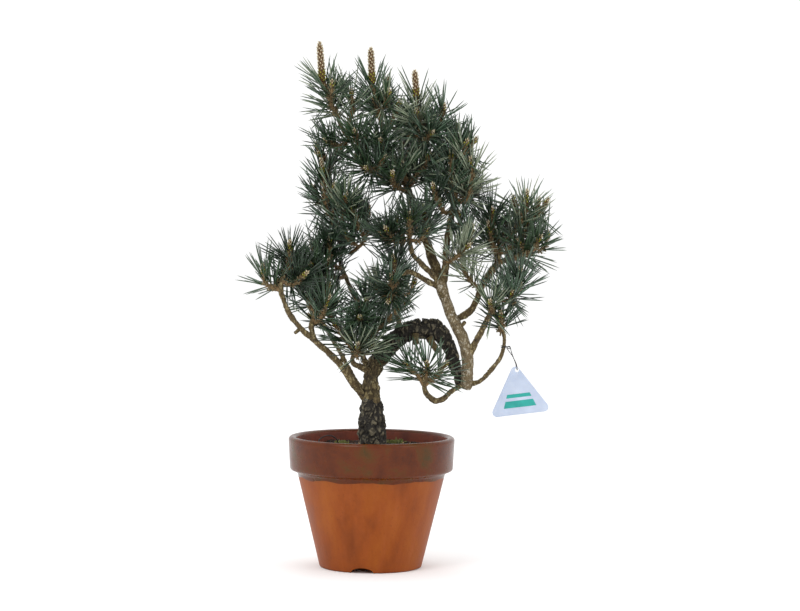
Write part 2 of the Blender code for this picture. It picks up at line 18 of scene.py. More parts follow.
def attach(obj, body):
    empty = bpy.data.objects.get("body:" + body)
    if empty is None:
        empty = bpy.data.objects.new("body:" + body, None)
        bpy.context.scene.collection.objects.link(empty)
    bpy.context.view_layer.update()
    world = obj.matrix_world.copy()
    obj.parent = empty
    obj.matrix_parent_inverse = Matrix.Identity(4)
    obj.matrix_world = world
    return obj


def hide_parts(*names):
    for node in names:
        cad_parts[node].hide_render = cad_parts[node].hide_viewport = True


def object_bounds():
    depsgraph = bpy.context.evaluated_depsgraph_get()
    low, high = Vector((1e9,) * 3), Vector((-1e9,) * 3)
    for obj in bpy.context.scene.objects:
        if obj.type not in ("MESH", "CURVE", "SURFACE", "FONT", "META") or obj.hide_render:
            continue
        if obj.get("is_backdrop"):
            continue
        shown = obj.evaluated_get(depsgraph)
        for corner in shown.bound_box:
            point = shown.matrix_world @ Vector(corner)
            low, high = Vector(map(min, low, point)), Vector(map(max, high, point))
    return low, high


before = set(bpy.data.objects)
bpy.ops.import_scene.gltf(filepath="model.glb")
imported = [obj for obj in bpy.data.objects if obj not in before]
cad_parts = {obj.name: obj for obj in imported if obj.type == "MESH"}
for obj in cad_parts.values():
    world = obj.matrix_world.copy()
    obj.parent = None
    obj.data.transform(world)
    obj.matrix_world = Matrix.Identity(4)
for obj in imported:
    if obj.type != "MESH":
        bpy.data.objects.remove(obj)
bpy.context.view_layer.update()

MM = 0.001
# ---------------------------------------------------------------- front elevation sheet
EYE = Vector((0.0342, -3.33, 0.494))  # where the elevation is seen from
SHEET = 2630.0  # sheet units per metre at one metre from the eye
SHEET_MIDDLE = (400.0, 305.5)
SHEET_DIP = math.radians(2.776)  # the eye looks slightly down
SHEET_TURN = math.radians(0.6)  # the sheet stands this far off level
UNIT = 3.345 / SHEET  # one sheet unit at the trunk, 1.27 mm

# ---------------------------------------------------------------- pot
POT_HEIGHT = 0.1660
RIM_RADIUS = 0.1055
BAND_FOOT_RADIUS = 0.1036  # lower edge of the glazed band
BAND_HEIGHT = 0.0416
BODY_TOP_RADIUS = 0.0936
BASE_RADIUS = 0.0653
LIP_WIDTH = 0.0099
LIP_ROUND = 0.0045
WALL_TOP_INNER = 0.0848  # inner radius just under the band
FLOOR_INNER = 0.0570
FLOOR_THICK = 0.0120
POT_SIDES = 36
NOTCH_COUNT = 3
NOTCH_HALF_WIDTH = 0.0145
NOTCH_HEIGHT = 0.0066
NOTCH_TURN = math.radians(-99.0)  # first notch, nine degrees left of the front
NOTCH_INNER = 0.034
DRAIN_RADIUS = 0.0055
DRAIN_AT = 0.042

# ---------------------------------------------------------------- soil
SOIL_TOP = 0.1520
SOIL_RINGS = (0.0, 0.024, 0.042, 0.060, 0.078, 1.0)  # the last is the wall
SOIL_SIDES = 24
SOIL_UNEVEN = 0.0022

# ---------------------------------------------------------------- limbs
# name: (sides, mass that its tip enters, ((x, y, back mm, half width), ...))
LIMBS = {
    "trunk": (14, None, (
        (373.5, 447.4, 0, 15.4), (372.8, 434, 0, 14.2), (371.6, 420, 0, 13.8), (371.6, 408, 0, 12.2),
        (370.6, 396, 0, 9.5), (370.4, 386, 0, 8.8), (371.4, 377, 0, 7.9), (375, 367.5, 1, 8.8))),
    "arch_rise": (12, None, (
        (375, 367.5, 1, 8.8), (380, 358, 3, 9.4), (387.5, 348, 6, 9.6), (397, 338.6, 9, 10.2),
        (408.5, 331.6, 11, 11.0), (421, 328.5, 13, 11.5))),
    "upper_trunk": (12, None, (
        (465.8, 388.6, 0, 5.2), (466.6, 383, -2, 6.4), (467.3, 372, -6, 6.3), (467.0, 357, -9, 6.2),
        (463.6, 341, -12, 6.0), (457.6, 328, -14, 5.8), (450.7, 314, -16, 5.5), (445.6, 300, -15, 5.4),
        (441.8, 288, -13, 6.2), (440.8, 281, -12, 5.6))),
    "arch_fall": (12, None, (
        (421, 328.5, 13, 11.5), (434, 330.2, 15, 11.0), (444.3, 338.6, 16, 9.4), (450.2, 350, 16, 7.7),
        (453, 361, 14, 7.2), (456.5, 372, 10, 6.9), (462, 383, 4, 6.2))),
    "bough_leader": (8, "foliage_top_middle", (
        (441, 285, -11, 5.2), (437.5, 272, -6, 5.2), (432, 258, 2, 5.0), (427, 243, 8, 4.5),
        (420, 225, 12, 4.0), (413.5, 207, 14, 3.8), (409, 193, 12, 3.7), (404.5, 181, 9, 3.5),
        (397, 165, 6, 3.2), (389.5, 150, 3, 3.0), (383.3, 134, 1, 2.8), (380.7, 121, 0, 2.7))),
    "bough_fork_right": (7, "foliage_upper_right", (
        (442.5, 283, -13, 4.6), (445, 268, -16, 4.0), (446, 251, -17, 3.5), (448.5, 235, -15, 3.8),
        (451.5, 215, -10, 3.3), (455, 198, -6, 3.0), (456, 188, -6, 2.6))),
    "bough_fork_left_high": (7, "foliage_centre", (
        (440, 282, -12, 3.2), (431, 273, -18, 3.0), (420, 262.5, -25, 2.8), (412.5, 254, -31, 2.6),
        (409.7, 240, -42, 2.3))),
    "bough_fork_left_low": (7, "foliage_centre_low", (
        (438.5, 286.5, -13, 3.4), (430, 283, -18, 3.2), (419, 276, -26, 3.0), (409, 271.8, -34, 2.8),
        (399, 275, -39, 2.5))),
    "bough_right_upper": (7, "foliage_right_upper", (
        (455, 320, -10, 3.9), (467, 313.5, -2, 3.8), (474.5, 304.5, 3, 3.7), (480, 291, 8, 3.4),
        (485, 279.5, 11, 3.1), (491, 270, 12, 2.9), (497, 261.5, 11, 2.7), (500, 250, 10, 2.4),
        (497, 238, 12, 2.2))),
    "bough_right_mid": (7, "foliage_right_mid", (
        (467, 358, -9, 3.8), (471.5, 350, -11, 3.7), (479.6, 335, -19, 3.5), (486.7, 321, -26, 3.2),
        (492, 312, -31, 3.0), (502, 298, -36, 2.6))),
    "bough_right_low": (7, "foliage_right_low", (
        (468, 384, -3, 2.9), (475, 383, -7, 2.7), (482.5, 379.5, -13, 2.5), (491.5, 369.5, -20, 2.4),
        (500, 358, -25, 2.3), (503.6, 348, -28, 2.2), (504, 337, -29, 2.1), (502, 328, -29, 2.0))),
    "bough_low_sling": (7, "foliage_low_right", (
        (463, 385, -2, 2.9), (456, 388.5, -7, 2.9), (450, 392.5, -12, 2.9), (443.5, 398.5, -18, 3.0),
        (436, 401, -24, 3.1), (429, 396.5, -29, 3.2), (424.5, 388, -33, 3.0), (426, 377, -36, 2.5))),
    "bough_left_sweep": (8, "foliage_left_upper", (
        (366, 400, -3, 4.2), (353, 383, -14, 3.7), (339.5, 364, -27, 3.4), (330, 354, -33, 3.3),
        (318, 343.5, -38, 3.3), (307, 334, -41, 3.2), (297, 324, -43, 3.1), (289, 313, -44, 3.0),
        (284, 301, -44, 2.9), (281, 291, -43, 2.8), (282, 281, -40, 2.6), (286, 270, -34, 2.2))),
    "bough_left_spur": (7, "foliage_left_mid", (
        (315, 341, -39, 2.9), (312.5, 333, -37, 2.9), (311.5, 325, -34, 2.8), (316, 312, -32, 2.4))),
    "bough_left_back": (7, "foliage_left_back", (
        (366, 389, 4, 3.0), (358.5, 385, 10, 2.7), (353, 376, 20, 2.6), (348, 367, 30, 2.5),
        (340, 352, 44, 2.4), (330, 335, 56, 2.3), (318, 314, 64, 2.2), (313, 299, 70, 2.1))),
    "bough_mid_left": (7, "foliage_mid_left_tip", (
        (370, 370, 4, 3.8), (363.5, 358, 14, 3.4), (361.5, 342, 22, 3.1), (362, 325, 26, 2.9),
        (360.5, 308, 26, 2.8), (355, 297, 25, 2.7), (350.6, 289, 23, 2.7), (346, 278, 20, 2.65),
        (341.5, 267, 17, 2.6), (340.3, 256, 14, 2.5), (341, 244, 11, 2.4), (338, 230, 6, 2.2),
        (331, 214, 2, 2.0))),
    "bough_low_middle": (7, "foliage_low_middle", (
        (369, 371, -5, 3.8), (361, 367, -13, 3.5), (354, 364, -21, 3.1), (352.5, 358, -28, 2.7),
        (358, 346, -33, 2.4))),
    "bough_top_left": (7, "foliage_top_left", (
        (404, 183, 9, 3.0), (396, 180.5, 8, 2.9), (385, 176, 5, 2.8), (371, 167, 1, 2.7),
        (360, 154, -3, 2.6), (350, 140, -5, 2.6), (341.5, 127, -6, 2.5), (334, 108, -6, 2.4))),
    "bough_top_right": (7, "foliage_top_right", (
        (404, 180, 9, 2.9), (411, 168, 11, 2.8), (417.5, 155, 11, 2.7), (421, 142, 9, 2.6),
        (420.5, 126, 8, 2.5))),
    "bough_back_low": (7, "foliage_back_low", (
        (403, 333, 10, 3.2), (399, 322, 24, 3.0), (397, 311, 42, 2.8), (395, 301, 60, 2.5),
        (394, 289, 80, 2.2))),
    "bough_back_mid": (7, "foliage_centre_back", (
        (428, 246, 7, 2.9), (425, 240, 28, 2.8), (420, 233, 50, 2.6), (417, 225, 76, 2.3))),
    "bough_back_right": (7, "foliage_back_right", (
        (480, 291, 8, 2.8), (485, 283, 28, 2.7), (492, 274, 50, 2.5), (502, 260, 74, 2.3))),
    "bough_back_top": (7, "foliage_crown_back", (
        (406, 188, 11, 2.8), (408, 178, 30, 2.7), (408, 168, 48, 2.5), (404, 154, 66, 2.3))),
}

# ---------------------------------------------------------------- masses of needles
# name: (x, y, back mm, half width, half height, half depth mm)
MASSES = {
    "foliage_top_left": (327, 99, -6, 33, 37, 42),
    "foliage_top_middle": (375, 100, 0, 29, 38, 44),
    "foliage_top_right": (422, 122, 6, 29, 36, 42),
    "foliage_crown_right": (455, 139, -8, 26, 29, 38),
    "foliage_crown_centre": (371, 152, -26, 30, 27, 38),
    "foliage_crown_back": (402, 150, 72, 36, 32, 40),
    "foliage_crown_left": (330, 150, 8, 27, 14, 26),
    "foliage_upper_right": (465, 184, 0, 31, 28, 50),
    "foliage_mid_left_tip": (325, 195, 0, 29, 33, 40),
    "foliage_mid_left": (357, 221, -14, 22, 32, 38),
    "foliage_centre": (403, 232, -52, 34, 30, 36),
    "foliage_centre_back": (417, 222, 86, 34, 30, 40),
    "foliage_centre_low": (393, 288, -42, 31, 32, 38),
    "foliage_right_inner": (463, 242, -32, 21, 38, 32),
    "foliage_right_upper": (491, 228, 14, 24, 27, 38),
    "foliage_right_outer_top": (527, 208, 0, 27, 23, 34),
    "foliage_right_outer": (538, 243, -6, 27, 21, 34),
    "foliage_right_mid": (513, 287, -36, 32, 30, 40),
    "foliage_right_low": (501, 326, -28, 21, 20, 28),
    "foliage_left_tip": (262, 278, -38, 25, 20, 28),
    "foliage_left_upper": (291, 262, -30, 28, 28, 38),
    "foliage_left_inner": (323, 254, -6, 24, 29, 34),
    "foliage_left_mid": (322, 306, -34, 29, 28, 38),
    "foliage_low_middle": (360, 334, -30, 41, 31, 34),
    "foliage_low_right": (424, 368, -42, 33, 27, 30),
    "foliage_back_right": (506, 256, 82, 36, 32, 40),
    "foliage_left_back": (311, 290, 80, 32, 30, 38),
    "foliage_back_low": (394, 286, 90, 32, 30, 38),
}
MASS_AROUND = 12  # faces round a mass
MASS_ALONG = 7
MASS_LUMPS = (0.20, 1.9)  # share of the radius, and how many to a turn
MASS_CRINKLE = (0.10, 4.3)

# ---------------------------------------------------------------- candles, tag
# name: (tip x, tip y, foot x, foot y, back mm, half width at tip and foot)
CANDLES = {
    "candle_left": (319.4, 40.7, 322.4, 82, -6, 3.0, 4.3),
    "candle_middle": (370.7, 46.4, 372.2, 84, 0, 3.0, 4.2),
    "candle_right": (414.5, 69.4, 416.8, 98, 6, 2.9, 4.0),
}
TAG_CORNERS = ((514.3, 362.5), (489.5, 418.0), (552.5, 410.5))
TAG_BACK = -28
TAG_THICK = 0.0011
TAG_CORNER_ROUND = 4.5
TAG_HOLE = (517.0, 370.0)
TAG_HOLE_RADIUS = 0.0026
STRING_RADIUS = 0.0005
STRING = (  # x, y, back mm: down from the bough, through the hole and up again
    (506.2, 347.5, -31.5), (508.4, 350.5, -31.2), (512.4, 356.0, -30.8), (516.3, 364.0, -30.4),
    (517.2, 369.0, -29.2), (517.3, 369.9, -27.5), (516.8, 368.6, -25.8), (515.4, 363.0, -25.2),
    (511.6, 352.5, -26.5), (510.4, 347.5, -28.0))



# ================================================================ sheet, curves
def at(x, y, back=0.0):
    """The point of the elevation sheet at (x, y) that lies this many millimetres behind the trunk."""
    u = (x - SHEET_MIDDLE[0]) / SHEET
    v = (SHEET_MIDDLE[1] - y) / SHEET
    turn, dip = SHEET_TURN, SHEET_DIP
    u, v = u * math.cos(turn) - v * math.sin(turn), u * math.sin(turn) + v * math.cos(turn)
    ray = Vector((u, math.cos(dip) + v * math.sin(dip), -math.sin(dip) + v * math.cos(dip)))
    return EYE + ray * ((back * MM - EYE.y) / ray.y)


def on_sheet(points):
    """Sheet x, y and back of an array of points."""
    away = points - np.array(EYE)
    cos_dip, sin_dip = math.cos(SHEET_DIP), math.sin(SHEET_DIP)
    depth = away[:, 1] * cos_dip - away[:, 2] * sin_dip
    u = away[:, 0] / depth
    v = (away[:, 1] * sin_dip + away[:, 2] * cos_dip) / depth
    cos_turn, sin_turn = math.cos(SHEET_TURN), math.sin(SHEET_TURN)
    u, v = u * cos_turn + v * sin_turn, -u * sin_turn + v * cos_turn
    return np.stack([SHEET_MIDDLE[0] + SHEET * u, SHEET_MIDDLE[1] - SHEET * v, points[:, 1] / MM], 1)


def catmull(points, step):
    """A smooth run through rows of numbers, the first three a place in metres, with rows about this far apart."""
    points = np.asarray(points, float)
    if len(points) == 1:
        return points
    ends = np.vstack([2 * points[0] - points[1], points, 2 * points[-1] - points[-2]])
    rows = []
    for i in range(len(points) - 1):
        p0, p1, p2, p3 = ends[i:i + 4]
        spans = max(2, int(math.ceil(np.linalg.norm((p2 - p1)[:3]) / step)))
        t = (np.arange(spans) / spans)[:, None]
        rows.append(0.5 * (2 * p1 + (p2 - p0) * t + (2 * p0 - 5 * p1 + 4 * p2 - p3) * t**2 + (3 * p1 - p0 - 3 * p2 + p3) * t**3))
    rows.append(points[-1:])
    return np.vstack(rows)


def unit(a):
    return a / np.maximum(np.linalg.norm(a, axis=-1, keepdims=True), 1e-12)


def run_frames(points):
    """Tangents and two sideways directions along a run, carried without twist."""
    tangents = unit(np.gradient(points, axis=0)) if len(points) > 1 else np.array([[0, 0, 1.0]])
    side = np.cross(tangents[0], (0.0, 1.0, 0.0))
    if np.linalg.norm(side) < 0.1:
        side = np.cross(tangents[0], (1.0, 0.0, 0.0))
    sides = np.empty_like(points)
    for i, tangent in enumerate(tangents):
        side = side - tangent * side.dot(tangent)
        side = side / np.linalg.norm(side)
        sides[i] = side
    return tangents, sides, np.cross(tangents, sides)


# ================================================================ meshes
class Heap:
    """Many small meshes joined into one."""

    def __init__(self):
        self.points, self.triangles, self.quads, self.count = [], [], [], 0

    def add(self, points, triangles=None, quads=None):
        points = np.asarray(points, np.float32).reshape(-1, 3)
        if triangles is not None and len(triangles):
            self.triangles.append(np.asarray(triangles, np.int64).reshape(-1, 3) + self.count)
        if quads is not None and len(quads):
            self.quads.append(np.asarray(quads, np.int64).reshape(-1, 4) + self.count)
        self.points.append(points)
        self.count += len(points)

    def mesh(self, name):
        triangles = np.vstack(self.triangles) if self.triangles else np.zeros((0, 3), np.int64)
        quads = np.vstack(self.quads) if self.quads else np.zeros((0, 4), np.int64)
        return array_mesh(name, np.vstack(self.points), triangles, quads)


def array_mesh(name, points, triangles, quads, smooth=True):
    mesh = bpy.data.meshes.new(name)
    mesh.vertices.add(len(points))
    mesh.vertices.foreach_set("co", np.ascontiguousarray(points, np.float32).ravel())
    corners = np.concatenate([np.asarray(triangles, np.int32).ravel(), np.asarray(quads, np.int32).ravel()])
    totals = np.concatenate([np.full(len(triangles), 3, np.int32), np.full(len(quads), 4, np.int32)])
    mesh.loops.add(len(corners))
    mesh.loops.foreach_set("vertex_index", corners)
    mesh.polygons.add(len(totals))
    mesh.polygons.foreach_set("loop_start", np.concatenate([[0], np.cumsum(totals)[:-1]]).astype(np.int32))
    mesh.polygons.foreach_set("loop_total", totals)
    mesh.polygons.foreach_set("use_smooth", np.full(len(totals), smooth))
    mesh.update(calc_edges=True)
    return mesh


def show(name, mesh, materials, nodes=()):
    obj = bpy.data.objects.new(name, mesh)
    for material in materials if isinstance(materials, (list, tuple)) else [materials]:
        obj.data.materials.append(material)
    bpy.context.scene.collection.objects.link(obj)
    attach(obj, "root")
    if nodes:
        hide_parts(*nodes)
    return obj


def tube(heap, points, radii, sides, ripple=None, cap=True):
    """A closed tube along a run of points."""
    tangents, side, up = run_frames(points)
    turn = np.arange(sides) * math.tau / sides
    ring = side[:, None, :] * np.cos(turn)[None, :, None] + up[:, None, :] * np.sin(turn)[None, :, None]
    reach = np.asarray(radii, float)[:, None] * np.ones((1, sides))
    if ripple is not None:
        reach = reach * ripple(len(points), sides)
    body = points[:, None, :] + ring * reach[..., None]
    rows, around = np.meshgrid(np.arange(len(points) - 1), np.arange(sides), indexing="ij")
    a = rows * sides + around
    b = rows * sides + (around + 1) % sides
    quads = np.stack([a, b, b + sides, a + sides], -1).reshape(-1, 4)
    everything = np.vstack([body.reshape(-1, 3), points[:1], points[-1:] + tangents[-1:] * np.asarray(radii)[-1] * 0.5])
    triangles = []
    if cap:
        first, last = len(everything) - 2, len(everything) - 1
        n = np.arange(sides)
        triangles = np.vstack([
            np.stack([np.full(sides, first), (n + 1) % sides, n], 1),
            np.stack([np.full(sides, last), (len(points) - 1) * sides + n, (len(points) - 1) * sides + (n + 1) % sides], 1)])
    heap.add(everything, triangles, quads)


# ================================================================ materials
def srgb(*values):
    return tuple((v / 255 / 12.92) if v / 255 <= 0.04045 else ((v / 255 + 0.055) / 1.055) ** 2.4 for v in values)


class Look:
    """One node material, built on the Principled shader."""

    def __init__(self, name, roughness=0.6, **sockets):
        self.material = bpy.data.materials.new(name)
        self.material.use_nodes = True
        self.nodes = self.material.node_tree.nodes
        self.links = self.material.node_tree.links
        self.shader = self.nodes["Principled BSDF"]
        self.shader.inputs["Roughness"].default_value = roughness
        for socket, value in sockets.items():
            self.shader.inputs[socket.replace("_", " ")].default_value = value
        self.place = None

    def new(self, kind, **props):
        node = self.nodes.new(kind)
        for key, value in props.items():
            setattr(node, key, value)
        return node

    def coords(self, stretch=(1, 1, 1)):
        if self.place is None:
            self.place = self.new("ShaderNodeTexCoord").outputs["Object"]
        if tuple(stretch) == (1, 1, 1):
            return self.place
        mapping = self.new("ShaderNodeMapping")
        mapping.inputs["Scale"].default_value = stretch
        self.links.new(self.place, mapping.inputs["Vector"])
        return mapping.outputs["Vector"]

    def noise(self, scale, detail=4.0, rough=0.55, stretch=(1, 1, 1), distortion=0.0):
        node = self.new("ShaderNodeTexNoise")
        node.inputs["Scale"].default_value = scale
        node.inputs["Detail"].default_value = detail
        node.inputs["Roughness"].default_value = rough
        node.inputs["Distortion"].default_value = distortion
        self.links.new(self.coords(stretch), node.inputs["Vector"])
        return node.outputs["Fac"]

    def cells(self, scale, feature="F1", stretch=(1, 1, 1), output="Distance"):
        node = self.new("ShaderNodeTexVoronoi", feature=feature)
        node.inputs["Scale"].default_value = scale
        self.links.new(self.coords(stretch), node.inputs["Vector"])
        return node.outputs[output]

    def attribute(self, name):
        return self.new("ShaderNodeAttribute", attribute_name=name).outputs["Fac"]

    def ramp(self, value, *stops):
        node = self.new("ShaderNodeValToRGB")
        band = node.color_ramp
        while len(band.elements) > 1:
            band.elements.remove(band.elements[-1])
        for i, (where, colour) in enumerate(stops):
            element = band.elements[0] if i == 0 else band.elements.new(where)
            element.position = where
            element.color = (*colour, 1.0) if isinstance(colour, (tuple, list)) else (colour, colour, colour, 1.0)
        self.links.new(value, node.inputs["Fac"])
        return node.outputs["Color"]

    def mix(self, share, one, other, blend="MIX"):
        node = self.new("ShaderNodeMix", data_type="RGBA", blend_type=blend)
        sockets = [s for s in node.inputs if s.enabled]
        for socket, value in zip((node.inputs[0], node.inputs[6], node.inputs[7]), (share, one, other)):
            if isinstance(value, (int, float)):
                socket.default_value = value
            elif isinstance(value, tuple):
                socket.default_value = (*value, 1.0)
            else:
                self.links.new(value, socket)
        return node.outputs[2]

    def add(self, one, other, weight=1.0):
        node = self.new("ShaderNodeMath", operation="MULTIPLY_ADD")
        self.links.new(other, node.inputs[0])
        node.inputs[1].default_value = weight
        self.links.new(one, node.inputs[2])
        return node.outputs[0]

    def scaled(self, value, by):
        node = self.new("ShaderNodeMath", operation="MULTIPLY")
        self.links.new(value, node.inputs[0])
        node.inputs[1].default_value = by
        return node.outputs[0]

    def to(self, socket, value):
        self.links.new(value, self.shader.inputs[socket])
        return self

    def bump(self, height, depth, strength=1.0):
        node = self.new("ShaderNodeBump")
        node.inputs["Strength"].default_value = strength
        node.inputs["Distance"].default_value = depth
        self.links.new(height, node.inputs["Height"])
        self.links.new(node.outputs["Normal"], self.shader.inputs["Normal"])
        return self


def bark_look(name, crack, base, light, fleck, fleck_share, speck, roughness=0.88):
    """Bark whose colour follows its own relief: painted shade in the cracks and a painted highlight on the plates, with
    lichen flecks.
    """
    look = Look(name, roughness=roughness)
    relief = look.attribute("relief")
    broad = look.noise(55, 5, 0.65)
    fine = look.noise(420, 4, 0.7)
    height = look.scaled(look.add(look.add(relief, broad, 0.7), fine, 0.35), 0.55)
    # painted shade and highlight: the crack colour darkens the hollows of the relief, the light colour brightens the
    # plate tops
    colour = look.ramp(height, (0.30, crack), (0.48, base), (0.60, base), (0.76, light))
    patch = look.noise(150, 6, 0.72, distortion=0.4)
    flecks = look.ramp(patch, (fleck_share, 0.0), (fleck_share + 0.07, 1.0))
    colour = look.mix(flecks, colour, fleck)
    dots = look.ramp(look.noise(900, 3, 0.7), (0.36, 1.0), (0.44, 0.0))
    colour = look.mix(dots, colour, speck)
    look.to("Base Color", colour)
    look.to("Roughness", look.ramp(broad, (0.3, roughness - 0.12), (0.7, roughness + 0.08)))
    look.bump(look.add(look.noise(700, 5, 0.7), look.cells(520), 0.5), 0.0007, 0.8)
    return look.material


# ================================================================ shoots
# mass, back of the foot in mm, bud length in sheet units, then the stem from the bud's foot down
SHOOTS = (
    ("foliage_top_left", -6, 0, ((322.4, 82), (326, 89), (330.5, 103), (337, 115), (341, 126), (349, 139))),
    ("foliage_top_middle", 0, 0, ((372.2, 84), (375, 100), (379, 112), (381, 123), (384, 136))),
    ("foliage_top_right", 6, 0, ((416.8, 98), (418, 112), (420, 125), (421, 142))),
    ("foliage_crown_right", -14, 6, ((443.5, 110), (441, 120), (434, 132))),
    ("foliage_crown_right", -26, 7, ((430.6, 134), (424, 142))),
    ("foliage_crown_right", -16, 7, ((451.3, 158), (452, 172), (455, 186))),
    ("foliage_upper_right", -20, 9, ((471.4, 167), (472, 177), (469.6, 192), (466, 202))),
    ("foliage_upper_right", -30, 6, ((434.3, 189), (437, 199), (444, 212))),
    ("foliage_top_middle", -26, 7, ((381.2, 143), (384, 153))),
    ("foliage_crown_left", -20, 6, ((329, 142), (338, 147))),
    ("foliage_top_left", -30, 6, ((355.5, 134), (358, 146))),
    ("foliage_crown_centre", -40, 6, ((367, 168), (374, 171))),
    ("foliage_crown_centre", -38, 8, ((392.8, 176), (394, 185), (402, 190))),
    ("foliage_mid_left_tip", -4, 17, ((323.2, 177.4), (324.8, 191.5), (327, 208))),
    ("foliage_mid_left", -22, 7, ((354, 210), (358.8, 227), (364, 240), (352, 252))),
    ("foliage_mid_left", -30, 6, ((346, 198), (344, 208), (340, 222))),
    ("foliage_centre", -56, 8, ((409.3, 220), (409.4, 233))),
    ("foliage_centre", -68, 6, ((387.8, 231), (396, 242))),
    ("foliage_centre_low", -50, 7, ((394, 262), (396.6, 275))),
    ("foliage_left_tip", -42, 10, ((263.8, 275.5), (265.7, 284), (277, 289))),
    ("foliage_left_upper", -38, 10, ((289.6, 252), (289.3, 268))),
    ("foliage_left_upper", -62, 8, ((303, 276), (294, 284))),
    ("foliage_left_inner", -16, 6, ((329.5, 244), (331, 262), (339, 268))),
    ("foliage_left_mid", -48, 11, ((325.7, 306), (322, 316), (317, 322))),
    ("foliage_left_inner", -30, 6, ((313, 266), (322, 274), (338, 278))),
    ("foliage_low_middle", -40, 7, ((367, 300), (364, 310))),
    ("foliage_low_middle", -48, 8, ((360, 318), (361.5, 328))),
    ("foliage_low_middle", -52, 8, ((357.5, 348), (357, 356))),
    ("foliage_centre_low", -66, 6, ((389.5, 299), (394, 290))),
    ("foliage_low_right", -48, 6, ((427, 366), (427, 373))),
    ("foliage_right_upper", -8, 8, ((464.5, 271), (470, 281), (479, 288))),
    ("foliage_right_upper", -2, 11, ((490, 233), (491.4, 241), (496.4, 252))),
    ("foliage_right_outer_top", -4, 12, ((526, 203), (524.5, 214), (514, 232), (502, 244))),
    ("foliage_right_outer", -14, 7, ((537.8, 241.5), (532, 251), (514, 259), (500, 262))),
    ("foliage_right_mid", -42, 9, ((520, 277), (519, 288), (512, 300))),
    ("foliage_right_low", -36, 7, ((501.4, 318), (503, 332))),
    ("foliage_right_mid", -60, 7, ((490.6, 304), (492, 314))),
    ("foliage_right_inner", -48, 6, ((466, 248), (458, 256), (448, 262))),
)
SHOOTS += (
    ("foliage_crown_centre", -16, 5, ((403, 166), (405, 180))),
    ("foliage_crown_right", -10, 5, ((428, 158), (422, 170), (411, 180))),
    ("foliage_upper_right", -14, 5, ((451, 180), (452, 194))),
    ("foliage_crown_right", 12, 5, ((441, 148), (440, 164), (450, 186))),
    ("foliage_top_left", -2, 5, ((352, 96), (352, 112), (346, 134))),
    ("foliage_top_middle", 4, 5, ((398, 106), (392, 122), (384, 134))),
    ("foliage_left_inner", -2, 5, ((334, 222), (338, 236), (341, 246))),
    ("foliage_centre_low", -34, 5, ((376, 288), (384, 296), (396, 284))),
    ("foliage_right_outer", 4, 5, ((528, 226), (520, 240), (506, 252))),
    ("foliage_low_middle", -24, 5, ((384, 322), (372, 336), (360, 346))),
    ("foliage_low_middle", -30, 5, ((336, 326), (346, 340), (356, 352))),
    ("foliage_low_right", -34, 5, ((408, 366), (418, 376), (424, 386))),
    ("foliage_crown_right", 2, 5, ((421, 168), (414, 180), (407, 190))),
    ("foliage_upper_right", 6, 5, ((438, 177), (446, 190), (453, 204))),
    ("foliage_centre", -24, 5, ((424, 214), (427, 226), (425, 238))),
    ("foliage_crown_centre", 4, 5, ((388, 170), (394, 180), (402, 188))),
    ("foliage_low_right", -34, 5, ((444, 366), (436, 376), (427, 384))),
)
OPENINGS = (  # x, y, half width, half height: where the sky shows through
    (425, 352, 17, 8), (345, 350, 8, 10), (300, 300, 5, 8), (500, 385, 20, 14), (430, 318, 12, 6), (455, 345, 5, 12),
    (378, 205, 6, 6), (428, 262, 8, 9), (330, 175, 12, 5), (513, 238, 7, 5), (385, 262, 6, 6), (478, 332, 5, 8))
EXTRA_SHOOTS = {"front": 1, "back": 4}
SEED = 11
rng = np.random.default_rng(SEED)

carried = []  # every limb and twig: sheet x, y, back, then the place and half width
limb_runs = {}
for name, (_, _, stations) in LIMBS.items():
    rows = [[*at(x, y, back), half * UNIT, x, y, back] for x, y, back, half in stations]
    if name == "trunk":
        rows[0][2] = SOIL_TOP - 0.002
    limb_runs[name] = catmull(rows, 0.0013)
    if name not in ("trunk", "arch_fall"):
        carried.append(limb_runs[name][::4])
carried = np.vstack(carried)


def nearest_carrier(place, low=0.0):
    gap = np.linalg.norm(carried[:, :3] - place, axis=1) + 0.35 * np.maximum(carried[:, 2] - place[2] + low, 0)
    return carried[int(np.argmin(gap))]


def in_crown(points, grow=1.0):
    """Whether points fall inside the front outline of some mass, and in no opening."""
    flat = on_sheet(points)
    inside = np.zeros(len(points), bool)
    for x, y, back, wide, high, deep in MASSES.values():
        inside |= ((flat[:, 0] - x) / wide) ** 2 + ((flat[:, 1] - y) / high) ** 2 + ((flat[:, 2] - back) / (deep * 1.15)) ** 2 < grow
    for x, y, wide, high in OPENINGS:
        inside &= ((flat[:, 0] - x) / wide) ** 2 + ((flat[:, 1] - y) / high) ** 2 > 1
    return inside


def off_candles(points):
    """Whether points stay clear of the candles as they are drawn, so that each stands free of the needles."""
    flat = on_sheet(points)
    free = np.ones(len(points), bool)
    for tip_x, tip_y, foot_x, foot_y, *_ in CANDLES.values():
        x, y = 0.5 * (tip_x + foot_x), 0.5 * (tip_y + foot_y) - 4
        free &= ((flat[:, 0] - x) / 7) ** 2 + ((flat[:, 1] - y) / (0.5 * (foot_y - tip_y))) ** 2 > 1
    return free


twigs, sprays = [], []


def nearest_drawn(x, y, back):
    """The carrier that passes closest on the sheet, with depth counting less."""
    gap = np.hypot(carried[:, 4] - x, carried[:, 5] - y) * UNIT + 0.25 * np.abs(carried[:, 6] - back) * MM
    return carried[int(np.argmin(gap))]


